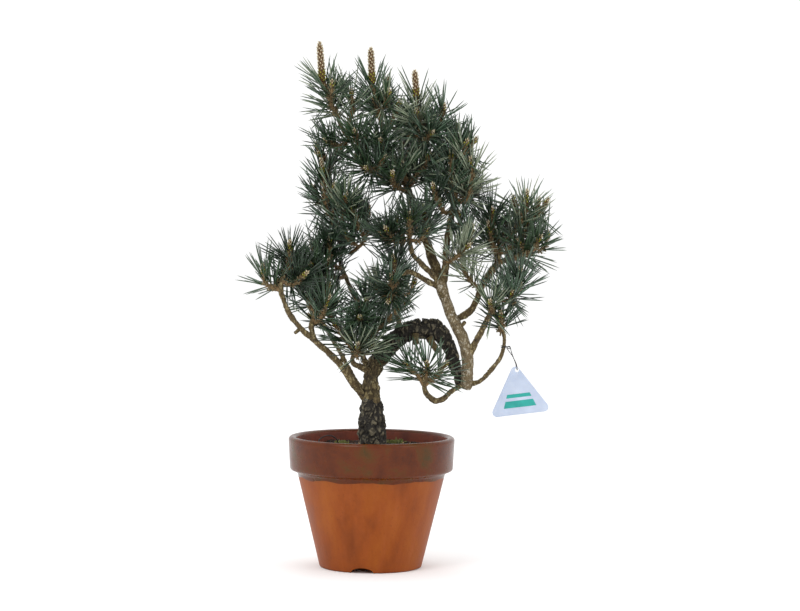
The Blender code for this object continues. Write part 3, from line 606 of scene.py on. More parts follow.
def grow_shoot(stem, bud, drawn, start=None):
    """A twig from its carrier up through the stem's places, thick enough to be carried."""
    global carried
    start = nearest_carrier(stem[-1]) if start is None else start
    root = start[:3]
    points = [root] + [p for p in stem[::-1] if np.linalg.norm(p - root) > 0.004]
    if len(points) < 2:
        return
    run = catmull(np.array(points), 0.002)
    foot = min(0.0030, max(0.0018, start[3] * 0.8))
    radii = np.linspace(foot, 0.0015, len(run))
    twigs.append((run, radii))
    carried = np.vstack([carried, np.hstack([run, radii[:, None], on_sheet(run)])[::3]])
    sprays.append((run, bud, drawn))


for mass, back, bud, stem in SHOOTS:
    start = nearest_drawn(*stem[-1], back)
    steps = np.linspace(back, 0.3 * back + 0.7 * start[6], len(stem))
    grow_shoot([np.array(at(x, y, b)) for (x, y), b in zip(stem, steps)], bud, True, start)
heads = [s[0][-1] for s in sprays]
for mass, (x, y, back, wide, high, deep) in MASSES.items():
    wanted = {1: EXTRA_SHOOTS["back"], -1: EXTRA_SHOOTS["front"]}
    for trial in range(90):
        side = 1 if trial % 2 else -1
        if wanted[side] <= 0:
            continue
        way = unit(rng.normal(size=3))
        reach = rng.uniform(0.30, 0.72)
        place = np.array(at(x + way[0] * reach * wide, y - way[2] * reach * high, back + side * abs(way[1]) * reach * deep))
        if min(np.linalg.norm(place - h) for h in heads) < 0.021 or not in_crown(place[None], 0.8)[0]:
            continue
        root = nearest_carrier(place, 0.01)[:3]
        if np.linalg.norm(place - root) > 0.062 or place[2] - root[2] < 0.25 * np.linalg.norm(place - root):
            continue
        outward = unit(unit(place - np.array(at(x, y + high * 0.6, back))) + np.array([0, 0, 0.5]))
        middle = place - outward * min(0.022, 0.6 * np.linalg.norm(place - root))
        grow_shoot([place, middle], 6, False)
        heads.append(place)
        wanted[side] -= 1

# ================================================================ needles
# the grey tint is a painted highlight: a lighter grey-green copy of the needle colour, dealt out by spray
TINTS = {"needles_deep": (27, 47, 28), "needles_mid": (48, 72, 44), "needles_blue": (76, 98, 78), "needles_painted_highlight": (132, 142, 118)}
NEEDLE = 0.044
heaps = {tint: Heap() for tint in TINTS}
sheaths, stubs, pale_scales, green_scales, bud_cores, twig_heap = Heap(), Heap(), Heap(), Heap(), Heap(), Heap()


def needles(heap, feet, ways, lengths, bends):
    count = len(feet)
    side = unit(np.cross(ways, rng.normal(size=(count, 3))))
    up = np.cross(ways, side)
    rows = []
    for share, width in ((0.0, 0.75), (0.4, 1.0), (0.8, 0.8)):
        middle = feet + ways * (lengths * share)[:, None] + bends * (lengths * share**2)[:, None]
        for turn in (0, 2.1, 4.2):
            rows.append(middle + (side * math.cos(turn) + up * math.sin(turn)) * 0.00090 * width)
    rows.append(feet + ways * lengths[:, None] + bends * lengths[:, None])
    points = np.stack(rows, 1)
    quads = np.array([(r * 3 + k, r * 3 + (k + 1) % 3, r * 3 + 3 + (k + 1) % 3, r * 3 + 3 + k) for r in (0, 1) for k in range(3)])
    ends = np.array([(6 + k, 6 + (k + 1) % 3, 9) for k in range(3)] + [(2, 1, 0)])
    base = (np.arange(count) * 10)[:, None, None]
    heap.add(points, (ends[None] + base).reshape(-1, 3), (quads[None] + base).reshape(-1, 4))


def scale_leaves(heap, feet, ways, outs, long, wide):
    """Small pointed scales, each a low four-sided pyramid."""
    side = np.cross(ways, outs)
    points = np.stack([feet - side * wide, feet + side * wide, feet + ways * long + outs * (0.35 * wide),
                       feet + ways * (long * 0.4) + outs * (0.8 * wide), feet - outs * wide], 1)
    base = (np.arange(len(feet)) * 5)[:, None, None]
    faces = np.array([(0, 3, 2), (3, 1, 2), (0, 4, 3), (4, 1, 3), (0, 2, 4), (4, 2, 1)])
    heap.add(points, (faces[None] + base).reshape(-1, 3))


def scaled_bud(foot, way, long, wide, tip, green):
    share = np.linspace(0, 1, 9)
    radii = (wide + (tip - wide) * share) * np.sqrt(np.clip(1.04 - share**14, 0.05, 1))
    tube(bud_cores, foot + way[None] * (long * share)[:, None], radii * 0.82, 10)
    count = int(long / 0.0033) * 6
    s = (np.arange(count) + 0.5) / count
    turn = np.arange(count) * 2.39996
    side = unit(np.cross(way, (0.3, 0.9, 0.1)))
    up = np.cross(way, side)
    outs = side * np.cos(turn)[:, None] + up * np.sin(turn)[:, None]
    feet = foot + way * (s * long * 0.97)[:, None] + outs * (np.interp(s, share, radii) * 0.86)[:, None]
    ways = unit(way + outs * 0.22)
    low = s < green
    for heap, chosen in ((green_scales, low), (pale_scales, ~low)):
        if chosen.any():
            scale_leaves(heap, feet[chosen], ways[chosen], outs[chosen], 0.0034, 0.0013)


for run, bud, drawn in sprays:
    tangents, side, up = run_frames(run)
    along = np.concatenate([[0], np.cumsum(np.linalg.norm(np.diff(run, axis=0), axis=1))])
    needled = min(along[-1] * 0.85, rng.uniform(0.044, 0.056) if drawn else rng.uniform(0.030, 0.040))
    count = int((42 if drawn else 32) * (0.45 + 0.55 * needled / 0.04))
    s = np.sort(rng.uniform(0, 1, count))
    at_run = along[-1] - s * needled
    index = np.clip(np.searchsorted(along, at_run), 0, len(run) - 1)
    turn = np.arange(count) * 2.39996 + rng.uniform(0, 0.5, count)
    outs = side[index] * np.cos(turn)[:, None] + up[index] * np.sin(turn)[:, None]
    lean = np.radians(26 + 48 * s + rng.normal(0, 9, count))
    ways = tangents[index] * np.cos(lean)[:, None] + outs * np.sin(lean)[:, None]
    ways = unit(ways + np.array([0, 0, 0.10]))
    feet = run[index] + outs * 0.0013
    main, second = rng.choice(4, 2, p=(0.30, 0.34, 0.22, 0.14))
    pair = {-1: heaps[list(TINTS)[int(main)]], 1: heaps[list(TINTS)[int(second)]]}
    spread = unit(np.cross(ways, rng.normal(size=(count, 3))))
    long = NEEDLE * rng.uniform(0.80, 1.06, count) * (1 - 0.12 * s)
    for hand in (-1, 1):
        way = unit(ways + spread * hand * rng.uniform(0.05, 0.12, count)[:, None])
        tips = feet + way * long[:, None]
        keep = in_crown(tips, 2.3 if drawn else 1.25) & off_candles(tips) & off_candles(0.5 * (feet + tips))
        if drawn:  # needles part before a stem that is seen from the front
            keep &= ~((outs[:, 1] < -0.80) & (s > 0.12))
        needles(pair[hand], feet[keep] + way[keep] * 0.003, way[keep], long[keep], (outs * rng.normal(0.0, 0.035, (count, 1)))[keep])
    for foot, way in zip(feet, ways):
        tube(sheaths, np.stack([foot, foot + way * 0.0045]), (0.0011, 0.0009), 4)
    way = tangents[-1]
    if bud:
        scaled_bud(run[-1], way, bud * UNIT * 1.15, 0.0026, 0.0016, 0.5)
for name, (tip_x, tip_y, foot_x, foot_y, back, tip_half, foot_half) in CANDLES.items():
    tip, foot = np.array(at(tip_x, tip_y, back)), np.array(at(foot_x, foot_y, back))
    scaled_bud(foot, unit(tip - foot), np.linalg.norm(tip - foot) - 0.001, foot_half * UNIT * 0.92, tip_half * UNIT * 0.98, 0.30)
for run, radii in twigs:
    tube(twig_heap, run, radii, 8, lambda n, k: 1 + rng.uniform(-0.14, 0.18, (n, k)))
    tangents, side, up = run_frames(run)
    index = np.repeat(np.arange(1, len(run)), 2)
    turn = np.arange(len(index)) * 2.39996
    outs = side[index] * np.cos(turn)[:, None] + up[index] * np.sin(turn)[:, None]
    scale_leaves(stubs, run[index] + outs * (radii[index] * 0.9)[:, None], unit(tangents[index] + outs * 0.9), outs, 0.0020, 0.0007)

KNOTS = (  # x, y, back at the foot and at the end, half width: stubs and the cut on the neck
    ((429, 338, 4), (438, 352, -4), 3.2), ((415, 334, 0), (416, 344, -4), 3.4), ((401, 329, 9), (396, 314, 6), 2.4),
    ((376.2, 400, -7), (376.6, 400, -14.5), 3.6), ((506, 262, 8), (512.5, 256.5, 2), 2.0), ((341, 362, -24), (344, 354, -30), 1.8),
    ((458, 330, -14), (465, 322, -20), 2.0), ((446, 300, -16), (440, 293, -24), 1.8), ((300, 329, -42), (295, 333, -48), 1.8))
knots = Heap()
for foot, end, half in KNOTS:
    run = catmull(np.array([at(*foot), 0.5 * (np.array(at(*foot)) + np.array(at(*end))), at(*end)]), 0.0012)
    tube(knots, run, np.linspace(half * 1.1, half * 0.9, len(run)) * UNIT, 18, lambda n, k: 1 + rng.uniform(-0.08, 0.10, (n, k)))

# ================================================================ bark
bark_groups = {"bark_dark": [], "bark_pale": [], "bark_olive": []}
for name in LIMBS:
    group = "bark_dark" if name in ("trunk", "arch_rise", "arch_fall") else "bark_pale" if name == "upper_trunk" else "bark_olive"
    bark_groups[group].append(name)
BARK = {  # voxel, plate size, plate depth, lump depth
    "bark_dark": (0.00075, 0.0066, 0.0030, 0.0030), "bark_pale": (0.0008, 0.0036, 0.0006, 0.0010), "bark_olive": (0.0010, 0.0042, 0.0009, 0.0011)}
# in each bark look the first colour is painted shade in the cracks and the third a painted highlight on the plates
BARK_LOOKS = {
    "bark_dark": bark_look("bark_dark", srgb(5, 4, 4), srgb(38, 34, 27), srgb(116, 108, 88), srgb(150, 148, 128), 0.61, srgb(9, 8, 7)),
    "bark_pale": bark_look("bark_pale", srgb(44, 34, 20), srgb(112, 97, 70), srgb(168, 158, 136), srgb(180, 174, 158), 0.56, srgb(44, 34, 24)),
    "bark_olive": bark_look("bark_olive", srgb(20, 15, 9), srgb(86, 71, 42), srgb(150, 136, 98), srgb(162, 152, 120), 0.60, srgb(24, 18, 11))}
neck_look = bark_look("bark_neck", srgb(14, 11, 6), srgb(74, 62, 38), srgb(138, 124, 86), srgb(156, 148, 118), 0.60, srgb(16, 12, 8))
for group, names in bark_groups.items():
    voxel, plate, plate_depth, lump_depth = BARK[group]
    heap = Heap()
    centre_rows = []
    for name in names:
        run = limb_runs[name]
        tube(heap, run[:, :3], run[:, 3] - plate_depth * 0.35, 24)
        s = np.arange(len(run)) * 0.0013
        centre_rows.append(np.hstack([run[:, :4], s[:, None]]))
    shape = bpy.data.objects.new(group, heap.mesh(group + "_tubes"))
    bpy.context.scene.collection.objects.link(shape)
    remesh = shape.modifiers.new("remesh", "REMESH")
    remesh.mode = "VOXEL"
    remesh.voxel_size = voxel
    bpy.context.view_layer.update()
    mesh = bpy.data.meshes.new_from_object(shape.evaluated_get(bpy.context.evaluated_depsgraph_get()))
    bpy.data.objects.remove(shape)
    co = np.empty(len(mesh.vertices) * 3, np.float32)
    mesh.vertices.foreach_get("co", co)
    co = co.reshape(-1, 3).astype(float)
    normal = np.empty(len(co) * 3, np.float32)
    mesh.vertices.foreach_get("normal", normal)
    normal = normal.reshape(-1, 3)
    relief = np.empty(len(co))
    for i, p in enumerate(co):
        v = Vector((p[0], p[1], p[2] * 0.62))
        v += noise.noise_vector(v * 110) * 0.0030 + noise.noise_vector(v * 420) * 0.0012
        distances = noise.voronoi(v / plate)[0]
        crack = min(1.0, max(0.0, (distances[1] - distances[0] - 0.03) / 0.28))
        relief[i] = 0.45 * crack + 0.55 * (0.5 + 0.5 * noise.fractal(v * 260, 0.8, 2.1, 4))
    lumps = np.array([noise.noise(Vector(p) * 85) for p in co])
    push = (relief - 0.55) * plate_depth * 1.25 + lumps * lump_depth
    if group == "bark_dark":
        push *= np.where(co[:, 2] < SOIL_TOP + 0.004, 0.3, 1.0)
    co += normal * push[:, None]
    mesh.vertices.foreach_set("co", co.astype(np.float32).ravel())
    mesh.attributes.new("relief", "FLOAT", "POINT").data.foreach_set("value", relief.astype(np.float32))
    mesh.shade_smooth()
    mesh.update()
    looks = [BARK_LOOKS[group]]
    if group == "bark_dark":
        looks.append(neck_look)
        flat = on_sheet(co)
        ragged = 5.0 * lumps + flat[:, 1]
        olive = (ragged > 360) & (ragged < 399) & (flat[:, 0] < 396)
        corner = np.empty(len(mesh.loops), np.int32)
        mesh.loops.foreach_get("vertex_index", corner)
        first = np.empty(len(mesh.polygons), np.int32)
        mesh.polygons.foreach_get("loop_start", first)
        mesh.polygons.foreach_set("material_index", olive[corner[first]].astype(np.int32))
    show(group, mesh, looks, names)

# ================================================================ foliage pieces
mass_names = list(MASSES)
for n, (tint, heap) in enumerate(heaps.items()):
    look = Look(tint, roughness=0.36, Specular_IOR_Level=0.6, Coat_Weight=0.22, Coat_Roughness=0.24)
    colour = srgb(*TINTS[tint])
    look.to("Base Color", look.ramp(look.noise(60, 3), (0.3, tuple(c * 0.72 for c in colour)), (0.7, tuple(min(1, c * 1.35) for c in colour))))
    show(tint, heap.mesh(tint), look.material, mass_names[n::4])


def speckled(name, dark, light, scale, roughness=0.75, depth=0.0003):
    look = Look(name, roughness=roughness)
    look.to("Base Color", look.ramp(look.noise(scale, 5, 0.65), (0.32, dark), (0.68, light)))
    look.bump(look.noise(scale * 2.2, 4, 0.7), depth)
    return look.material


show("bark_knots", knots.mesh("bark_knots"), speckled("knot_bark", srgb(34, 26, 14), srgb(122, 106, 70), 330, 0.9, 0.0008))
show("twig_stems", twig_heap.mesh("twig_stems"), speckled("twig_bark", srgb(66, 47, 26), srgb(134, 108, 68), 260))
show("twig_scales", stubs.mesh("twig_scales"), speckled("twig_scale", srgb(78, 56, 32), srgb(152, 126, 86), 300))
show("needle_sheaths", sheaths.mesh("needle_sheaths"), speckled("needle_sheath", srgb(84, 70, 44), srgb(140, 126, 92), 200))
show("bud_cores", bud_cores.mesh("bud_cores"), speckled("bud_core", srgb(62, 38, 14), srgb(96, 64, 26), 300), list(CANDLES))
show("bud_scales_pale", pale_scales.mesh("bud_scales_pale"), speckled("bud_scale_pale", srgb(172, 154, 112), srgb(222, 212, 184), 320))
show("bud_scales_green", green_scales.mesh("bud_scales_green"), speckled("bud_scale_green", srgb(126, 130, 26), srgb(180, 176, 66), 320))

# ================================================================ pot
AROUND = 288
GLAZE_EDGE = POT_HEIGHT - BAND_HEIGHT - 0.0095


def turned_rows(profile):
    turn = np.arange(AROUND) * math.tau / AROUND
    r, z = np.array(profile)[:, 0][:, None], np.array(profile)[:, 1][:, None]
    return np.stack([r * np.cos(turn), r * np.sin(turn), z * np.ones_like(turn)[None]], -1)


def pot_rows():
    top, band = POT_HEIGHT, POT_HEIGHT - BAND_HEIGHT
    rows = [(0.004, 0.0), (0.030, 0.0), (BASE_RADIUS - 0.0022, 0.0), (BASE_RADIUS - 0.0007, 0.0007), (BASE_RADIUS, 0.0024)]
    foot_z, neck_z = 0.0024, band - 0.0062
    for i in range(1, 41):
        t = i / 40
        rows.append((BASE_RADIUS + (BODY_TOP_RADIUS - BASE_RADIUS) * t, foot_z + (neck_z - foot_z) * t))
    rows += [(BODY_TOP_RADIUS + 0.0006, band - 0.0046), (BODY_TOP_RADIUS + 0.0030, band - 0.0030), (BAND_FOOT_RADIUS - 0.0030, band - 0.0014),
             (BAND_FOOT_RADIUS - 0.0010, band - 0.0004), (BAND_FOOT_RADIUS, band + 0.0014)]
    for i in range(1, 13):
        t = i / 12
        rows.append((BAND_FOOT_RADIUS + (RIM_RADIUS - BAND_FOOT_RADIUS) * t, band + 0.0014 + (top - LIP_ROUND - band - 0.0014) * t))
    for i in range(1, 9):
        turn = math.radians(90 * i / 8)
        rows.append((RIM_RADIUS - LIP_ROUND + LIP_ROUND * math.cos(turn), top - LIP_ROUND + LIP_ROUND * math.sin(turn)))
    inner = RIM_RADIUS - LIP_WIDTH
    rows += [(inner + 0.0034, top - 0.0003), (inner + 0.0016, top - 0.0012), (inner + 0.0004, top - 0.0028), (inner, top - 0.0046),
             (inner - 0.0012, top - 0.0140), (inner - 0.0022, band + 0.0090), (WALL_TOP_INNER, band - 0.0106), (FLOOR_INNER, FLOOR_THICK + 0.003),
             (FLOOR_INNER - 0.004, FLOOR_THICK), (0.004, FLOOR_THICK)]
    return rows


profile = pot_rows()
grid = turned_rows(profile)
zs = np.array(profile)[:, 1]
wave = np.array([noise.noise(Vector((math.cos(a) * 2.2, math.sin(a) * 2.2, 4.1))) + 0.5 * noise.noise(Vector((math.cos(a) * 7, math.sin(a) * 7, 1.3)))
                 for a in np.arange(AROUND) * math.tau / AROUND])
wave = 0.5 + wave
body_rows = range(5, 45)
for i in body_rows:  # the rows near the glaze's edge rise and fall with it
    near = math.exp(-((zs[i] - GLAZE_EDGE) / 0.006) ** 2)
    shift = (wave - 0.5) * 0.0032 * near
    slope = (BODY_TOP_RADIUS - BASE_RADIUS) / (POT_HEIGHT - BAND_HEIGHT - 0.0086)
    scale = 1 + shift * slope / grid[i, 0, 0]
    grid[i, :, 0] *= scale
    grid[i, :, 1] *= scale
    grid[i, :, 2] += shift
edge_row = min(body_rows, key=lambda i: abs(zs[i] - GLAZE_EDGE))
count = len(profile)
rows, around = np.meshgrid(np.arange(count - 1), np.arange(AROUND), indexing="ij")
a = rows * AROUND + around
b = rows * AROUND + (around + 1) % AROUND
quads = np.stack([a, b, b + AROUND, a + AROUND], -1).reshape(-1, 4)
points = np.vstack([grid.reshape(-1, 3), [[0, 0, 0]], [[0, 0, FLOOR_THICK]]])
n = np.arange(AROUND)
low, high = len(points) - 2, len(points) - 1
caps = np.vstack([np.stack([np.full(AROUND, low), (n + 1) % AROUND, n], 1),
                  np.stack([np.full(AROUND, high), (count - 1) * AROUND + n, (count - 1) * AROUND + (n + 1) % AROUND], 1)])
pot_mesh = array_mesh("pot_body", points, caps, quads)
lip_end = next(i for i, (r, z) in enumerate(profile) if i > 60 and r < RIM_RADIUS - LIP_WIDTH + 0.001)
finish_of = np.where(np.arange(count - 1) < edge_row, 0, np.where(np.arange(count - 1) < lip_end, 1, 2))
pot_mesh.polygons.foreach_set("material_index", np.concatenate([np.zeros(AROUND, np.int32), np.full(AROUND, 2, np.int32), np.repeat(finish_of, AROUND).astype(np.int32)]))
pot_obj = bpy.data.objects.new("pot_body", pot_mesh)
bpy.context.scene.collection.objects.link(pot_obj)

clay = Look("terracotta", roughness=0.5, Coat_Weight=0.06, Coat_Roughness=0.4, Specular_IOR_Level=0.2)
blotch = clay.noise(26, 5, 0.6, stretch=(1, 1, 0.45))
colour = clay.ramp(blotch, (0.25, srgb(108, 48, 3)), (0.5, srgb(134, 63, 6)), (0.78, srgb(150, 80, 18)))
streak = clay.ramp(clay.noise(70, 3, 0.6, stretch=(1, 1, 0.07)), (0.45, 0.0), (0.75, 0.35))
colour = clay.mix(streak, colour, srgb(154, 80, 38))
colour = clay.mix(clay.ramp(clay.noise(520, 3, 0.6), (0.30, 0.7), (0.37, 0.0)), colour, srgb(92, 44, 20))
clay.to("Base Color", colour).to("Roughness", clay.ramp(blotch, (0.3, 0.42), (0.7, 0.58)))
clay.bump(clay.add(clay.noise(300, 4, 0.6), clay.noise(60, 3, 0.5, stretch=(0.3, 0.3, 4)), 0.6), 0.00035, 0.6)
glaze = Look("brown_glaze", roughness=0.26, Coat_Weight=0.06, Coat_Roughness=0.16, Specular_IOR_Level=0.22)
blotch = glaze.noise(30, 5, 0.65, distortion=0.3)
colour = glaze.ramp(blotch, (0.28, srgb(66, 24, 0)), (0.5, srgb(88, 36, 0)), (0.60, srgb(82, 44, 2)), (0.72, srgb(62, 46, 10)))
colour = glaze.mix(glaze.ramp(glaze.noise(640, 2, 0.6), (0.28, 0.6), (0.35, 0.0)), colour, srgb(46, 22, 8))
glaze.to("Base Color", colour).to("Roughness", glaze.ramp(glaze.noise(45, 3), (0.3, 0.20), (0.7, 0.34)))
glaze.bump(glaze.noise(85, 4, 0.6), 0.0005, 0.45)
inner = Look("inner_clay", roughness=0.6)
inner.to("Base Color", inner.ramp(inner.noise(40, 5, 0.65), (0.3, srgb(84, 28, 6)), (0.7, srgb(130, 52, 16))))
inner.bump(inner.noise(200, 4, 0.6), 0.0004, 0.6)
for look in (clay, glaze, inner):
    pot_mesh.materials.append(look.material)
for i in range(NOTCH_COUNT):
    turn = NOTCH_TURN + math.tau * i / NOTCH_COUNT
    bm = bmesh.new()
    outline = [(NOTCH_HALF_WIDTH, -0.004)] + [(NOTCH_HALF_WIDTH * math.cos(math.pi * s / 24), NOTCH_HEIGHT * math.sin(math.pi * s / 24)) for s in range(25)] + [(-NOTCH_HALF_WIDTH, -0.004)]
    near = [bm.verts.new((NOTCH_INNER, p, q)) for p, q in outline]
    far = [bm.verts.new((0.080, p, q)) for p, q in outline]
    for k in range(len(outline)):
        m = (k + 1) % len(outline)
        bm.faces.new((near[k], near[m], far[m], far[k]))
    bm.faces.new(near)
    bm.faces.new(far)
    hole = Matrix.Translation((DRAIN_AT, 0, 0.008))
    bmesh.ops.recalc_face_normals(bm, faces=bm.faces)
    bmesh.ops.rotate(bm, verts=bm.verts, cent=(0, 0, 0), matrix=Matrix.Rotation(turn, 3, "Z"))
    knife_mesh = bpy.data.meshes.new("knife")
    bm.to_mesh(knife_mesh)
    bm.free()
    bm = bmesh.new()
    bmesh.ops.create_cone(bm, cap_ends=True, segments=32, radius1=DRAIN_RADIUS, radius2=DRAIN_RADIUS, depth=0.03, matrix=Matrix.Rotation(turn, 4, "Z") @ hole)
    drain_mesh = bpy.data.meshes.new("drain")
    bm.to_mesh(drain_mesh)
    bm.free()
    for cutter_mesh in (knife_mesh, drain_mesh):
        knife = bpy.data.objects.new("knife", cutter_mesh)
        bpy.context.scene.collection.objects.link(knife)
        cut = pot_obj.modifiers.new("cut", "BOOLEAN")
        cut.solver = "EXACT"
        cut.object = knife
        bpy.context.view_layer.update()
        result = bpy.data.meshes.new_from_object(pot_obj.evaluated_get(bpy.context.evaluated_depsgraph_get()))
        pot_obj.modifiers.clear()
        pot_obj.data = result
        bpy.data.objects.remove(knife)
pot_obj.data.shade_smooth()
pot_obj.data.set_sharp_from_angle(angle=math.radians(50))
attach(pot_obj, "root")
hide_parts("pot")

# ================================================================ soil
soil_edge = 0.0900


def soil_height(x, y):
    away = math.hypot(x, y)
    v = Vector((x, y, 0))
    lump = 0.0030 * noise.noise(v * 34 + Vector((4, 1, 2))) + 0.0014 * noise.noise(v * 120)
    mound = 0.0035 * math.exp(-((away - 0.018) / 0.020) ** 2)
    return SOIL_TOP - 0.0012 + lump + mound


steps = 90
heap = Heap()
turn = np.arange(180) * math.tau / 180
rings = np.linspace(0.0005, soil_edge, steps)
top = np.array([[(r * math.cos(t), r * math.sin(t), soil_height(r * math.cos(t), r * math.sin(t)) if k < steps - 1 else SOIL_TOP - 0.012) for t in turn]
                for k, r in enumerate(rings)])
under = top[-1:].copy()
under[..., 2] = FLOOR_THICK + 0.001
under[..., :2] *= FLOOR_INNER / soil_edge * 0.97
grid = np.vstack([top, under])
rows, around = np.meshgrid(np.arange(steps), np.arange(180), indexing="ij")
a = rows * 180 + around
b = rows * 180 + (around + 1) % 180
heap.add(grid, None, np.stack([a, a + 180, b + 180, b], -1).reshape(-1, 4))
soil_look = speckled("soil_dark", srgb(16, 10, 6), srgb(52, 34, 22), 240, 0.95, 0.001)
show("soil_bed", heap.mesh("soil_bed"), soil_look, ["soil"])
gold = (1 + 5**0.5) / 2
ico = unit(np.array([(-1, gold, 0), (1, gold, 0), (-1, -gold, 0), (1, -gold, 0), (0, -1, gold), (0, 1, gold), (0, -1, -gold), (0, 1, -gold),
                     (gold, 0, -1), (gold, 0, 1), (-gold, 0, -1), (-gold, 0, 1)], float))
ico_faces = np.array([(0, 11, 5), (0, 5, 1), (0, 1, 7), (0, 7, 10), (0, 10, 11), (1, 5, 9), (5, 11, 4), (11, 10, 2), (10, 7, 6), (7, 1, 8),
                      (3, 9, 4), (3, 4, 2), (3, 2, 6), (3, 6, 8), (3, 8, 9), (4, 9, 5), (2, 4, 11), (6, 2, 10), (8, 6, 7), (9, 8, 1)])
crumbs = {"soil_crumbs_dark": Heap(), "soil_crumbs_brown": Heap(), "soil_chips_tan": Heap()}
for i in range(3200):
    r, t = 0.0885 * math.sqrt(rng.uniform(0.03, 1)), rng.uniform(0, math.tau)
    x, y = r * math.cos(t), r * math.sin(t)
    kind = "soil_chips_tan" if i % 40 == 0 else "soil_crumbs_brown" if i % 3 == 0 else "soil_crumbs_dark"
    size = rng.uniform(0.0009, 0.0024) * (1.25 if kind == "soil_chips_tan" else 1)
    shape = ico * rng.uniform(0.7, 1.25, (12, 1)) * size * (rng.uniform(0.7, 1.5), rng.uniform(0.7, 1.5), rng.uniform(0.45, 0.9))
    crumbs[kind].add(shape + (x, y, soil_height(x, y) + size * 0.2), ico_faces)
for name, dark, light in (("soil_crumbs_dark", srgb(16, 10, 7), srgb(48, 30, 20)), ("soil_crumbs_brown", srgb(44, 26, 14), srgb(88, 56, 32)), ("soil_chips_tan", srgb(150, 116, 76), srgb(198, 170, 128))):
    mesh = crumbs[name].mesh(name)
    mesh.shade_flat()
    show(name, mesh, speckled(name + "_look", dark, light, 300, 0.95))
moss = Heap()
for x, y, spread, blades in ((0.012, 0.050, 0.010, 130), (0.030, 0.056, 0.012, 150), (-0.040, 0.030, 0.009, 90), (0.050, -0.020, 0.008, 70), (-0.012, -0.048, 0.010, 90)):
    px, py = x + rng.normal(0, spread * 0.5, blades), y + rng.normal(0, spread * 0.5, blades)
    feet = np.array([(p, q, soil_height(p, q)) for p, q in zip(px, py)])
    ways = unit(rng.normal(0, 0.5, (blades, 3)) + (0, 0, 1.0))
    needles(moss, feet, ways, rng.uniform(0.003, 0.007, blades), np.zeros((blades, 3)))
show("moss_tufts", moss.mesh("moss_tufts"), speckled("moss", srgb(58, 66, 18), srgb(122, 124, 52), 200))
wire = Heap()
loop = catmull(np.array([at(x, y, b) for x, y, b in ((318, 447, -8), (319, 440.6, -6), (323, 437, -3), (328.7, 435.5, 0), (334, 437, 2), (337.6, 441, 4), (338.5, 447, 5))]), 0.001)
tube(wire, loop, np.full(len(loop), 0.0007), 10)
show("wire_loop", wire.mesh("wire_loop"), Look("dark_wire", roughness=0.45, Metallic=0.3, Base_Color=(0.012, 0.012, 0.013, 1)).material)

# ================================================================ tag and twine
def rounded(corners, round_, steps):
    outline = []
    for i, corner in enumerate(corners):
        to_last, to_next = (corners[i - 1] - corner).normalized(), (corners[(i + 1) % 3] - corner).normalized()
        half = 0.5 * to_last.angle(to_next)
        middle = corner + (to_last + to_next).normalized() * (round_ / math.sin(half))
        first = corner + to_last * (round_ / math.tan(half)) - middle
        final = corner + to_next * (round_ / math.tan(half)) - middle
        outline += [middle + first.normalized().slerp(final.normalized(), s / steps) * first.length for s in range(steps + 1)]
    return outline


def plate(name, outline, y_low, y_high, hole=None):
    bm = bmesh.new()
    rows = [[bm.verts.new((p.x, y, p.z)) for p in outline] for y in (y_low, y_high)]
    bm.faces.new(rows[0])
    bm.faces.new(list(reversed(rows[1])))
    for i in range(len(outline)):
        j = (i + 1) % len(outline)
        bm.faces.new((rows[0][i], rows[1][i], rows[1][j], rows[0][j]))
    bmesh.ops.recalc_face_normals(bm, faces=bm.faces)
    bmesh.ops.bevel(bm, geom=[e for e in bm.edges if abs(e.verts[0].co.y - e.verts[1].co.y) < 1e-7], offset=(y_high - y_low) * 0.3, segments=2, affect="EDGES")
    mesh = bpy.data.meshes.new(name)
    bm.to_mesh(mesh)
    bm.free()
    return mesh


tag_y = TAG_BACK * MM
corners = [at(x, y, TAG_BACK) for x, y in TAG_CORNERS]
plastic = Look("tag_white", roughness=0.28, Subsurface_Weight=0.25, Coat_Weight=0.3, Coat_Roughness=0.2)
plastic.shader.inputs["Subsurface Radius"].default_value = (0.004, 0.005, 0.006)
plastic.to("Base Color", plastic.ramp(plastic.noise(40, 3), (0.3, srgb(166, 178, 200)), (0.7, srgb(188, 198, 216))))
plastic.bump(plastic.noise(120, 3), 0.0001, 0.4)
tag_obj = show("tag_plate", plate("tag_plate", rounded(corners, TAG_CORNER_ROUND * UNIT, 12), tag_y - TAG_THICK / 2, tag_y + TAG_THICK / 2), plastic.material, ["tag"])
bm = bmesh.new()
bmesh.ops.create_cone(bm, cap_ends=True, segments=40, radius1=TAG_HOLE_RADIUS, radius2=TAG_HOLE_RADIUS, depth=0.01, matrix=Matrix.Translation(at(*TAG_HOLE, TAG_BACK)) @ Matrix.Rotation(math.radians(90), 4, "X"))
knife_mesh = bpy.data.meshes.new("punch")
bm.to_mesh(knife_mesh)
bm.free()
knife = bpy.data.objects.new("punch", knife_mesh)
bpy.context.scene.collection.objects.link(knife)
cut = tag_obj.modifiers.new("cut", "BOOLEAN")
cut.solver = "EXACT"
cut.object = knife
bpy.context.view_layer.update()
result = bpy.data.meshes.new_from_object(tag_obj.evaluated_get(bpy.context.evaluated_depsgraph_get()))
tag_obj.modifiers.clear()
tag_obj.data = result
bpy.data.objects.remove(knife)
teal = Look("stripe_teal", roughness=0.35)
teal.to("Base Color", teal.ramp(teal.noise(90, 2), (0.3, srgb(16, 140, 132)), (0.7, srgb(30, 158, 148))))
for i, (low, high) in enumerate(((0.60, 0.67), (0.73, 0.86))):
    apex, left, right = corners
    ends = [apex.lerp(left, low + 0.0).lerp(apex.lerp(right, low), m) for m in (0.20, 0.80)] + [apex.lerp(left, high).lerp(apex.lerp(right, high), m) for m in (0.80, 0.20)]
    for face, y in (("front", tag_y - TAG_THICK / 2), ("rear", tag_y + TAG_THICK / 2)):
        show(f"tag_stripe_{face}_{i + 1}", plate(f"stripe_{face}_{i}", ends, y - 0.00008, y + 0.00008), teal.material)
twine = Heap()
run = catmull(np.array([at(x, y, back) for x, y, back in STRING]), 0.0005)
tangents, side, up = run_frames(run)
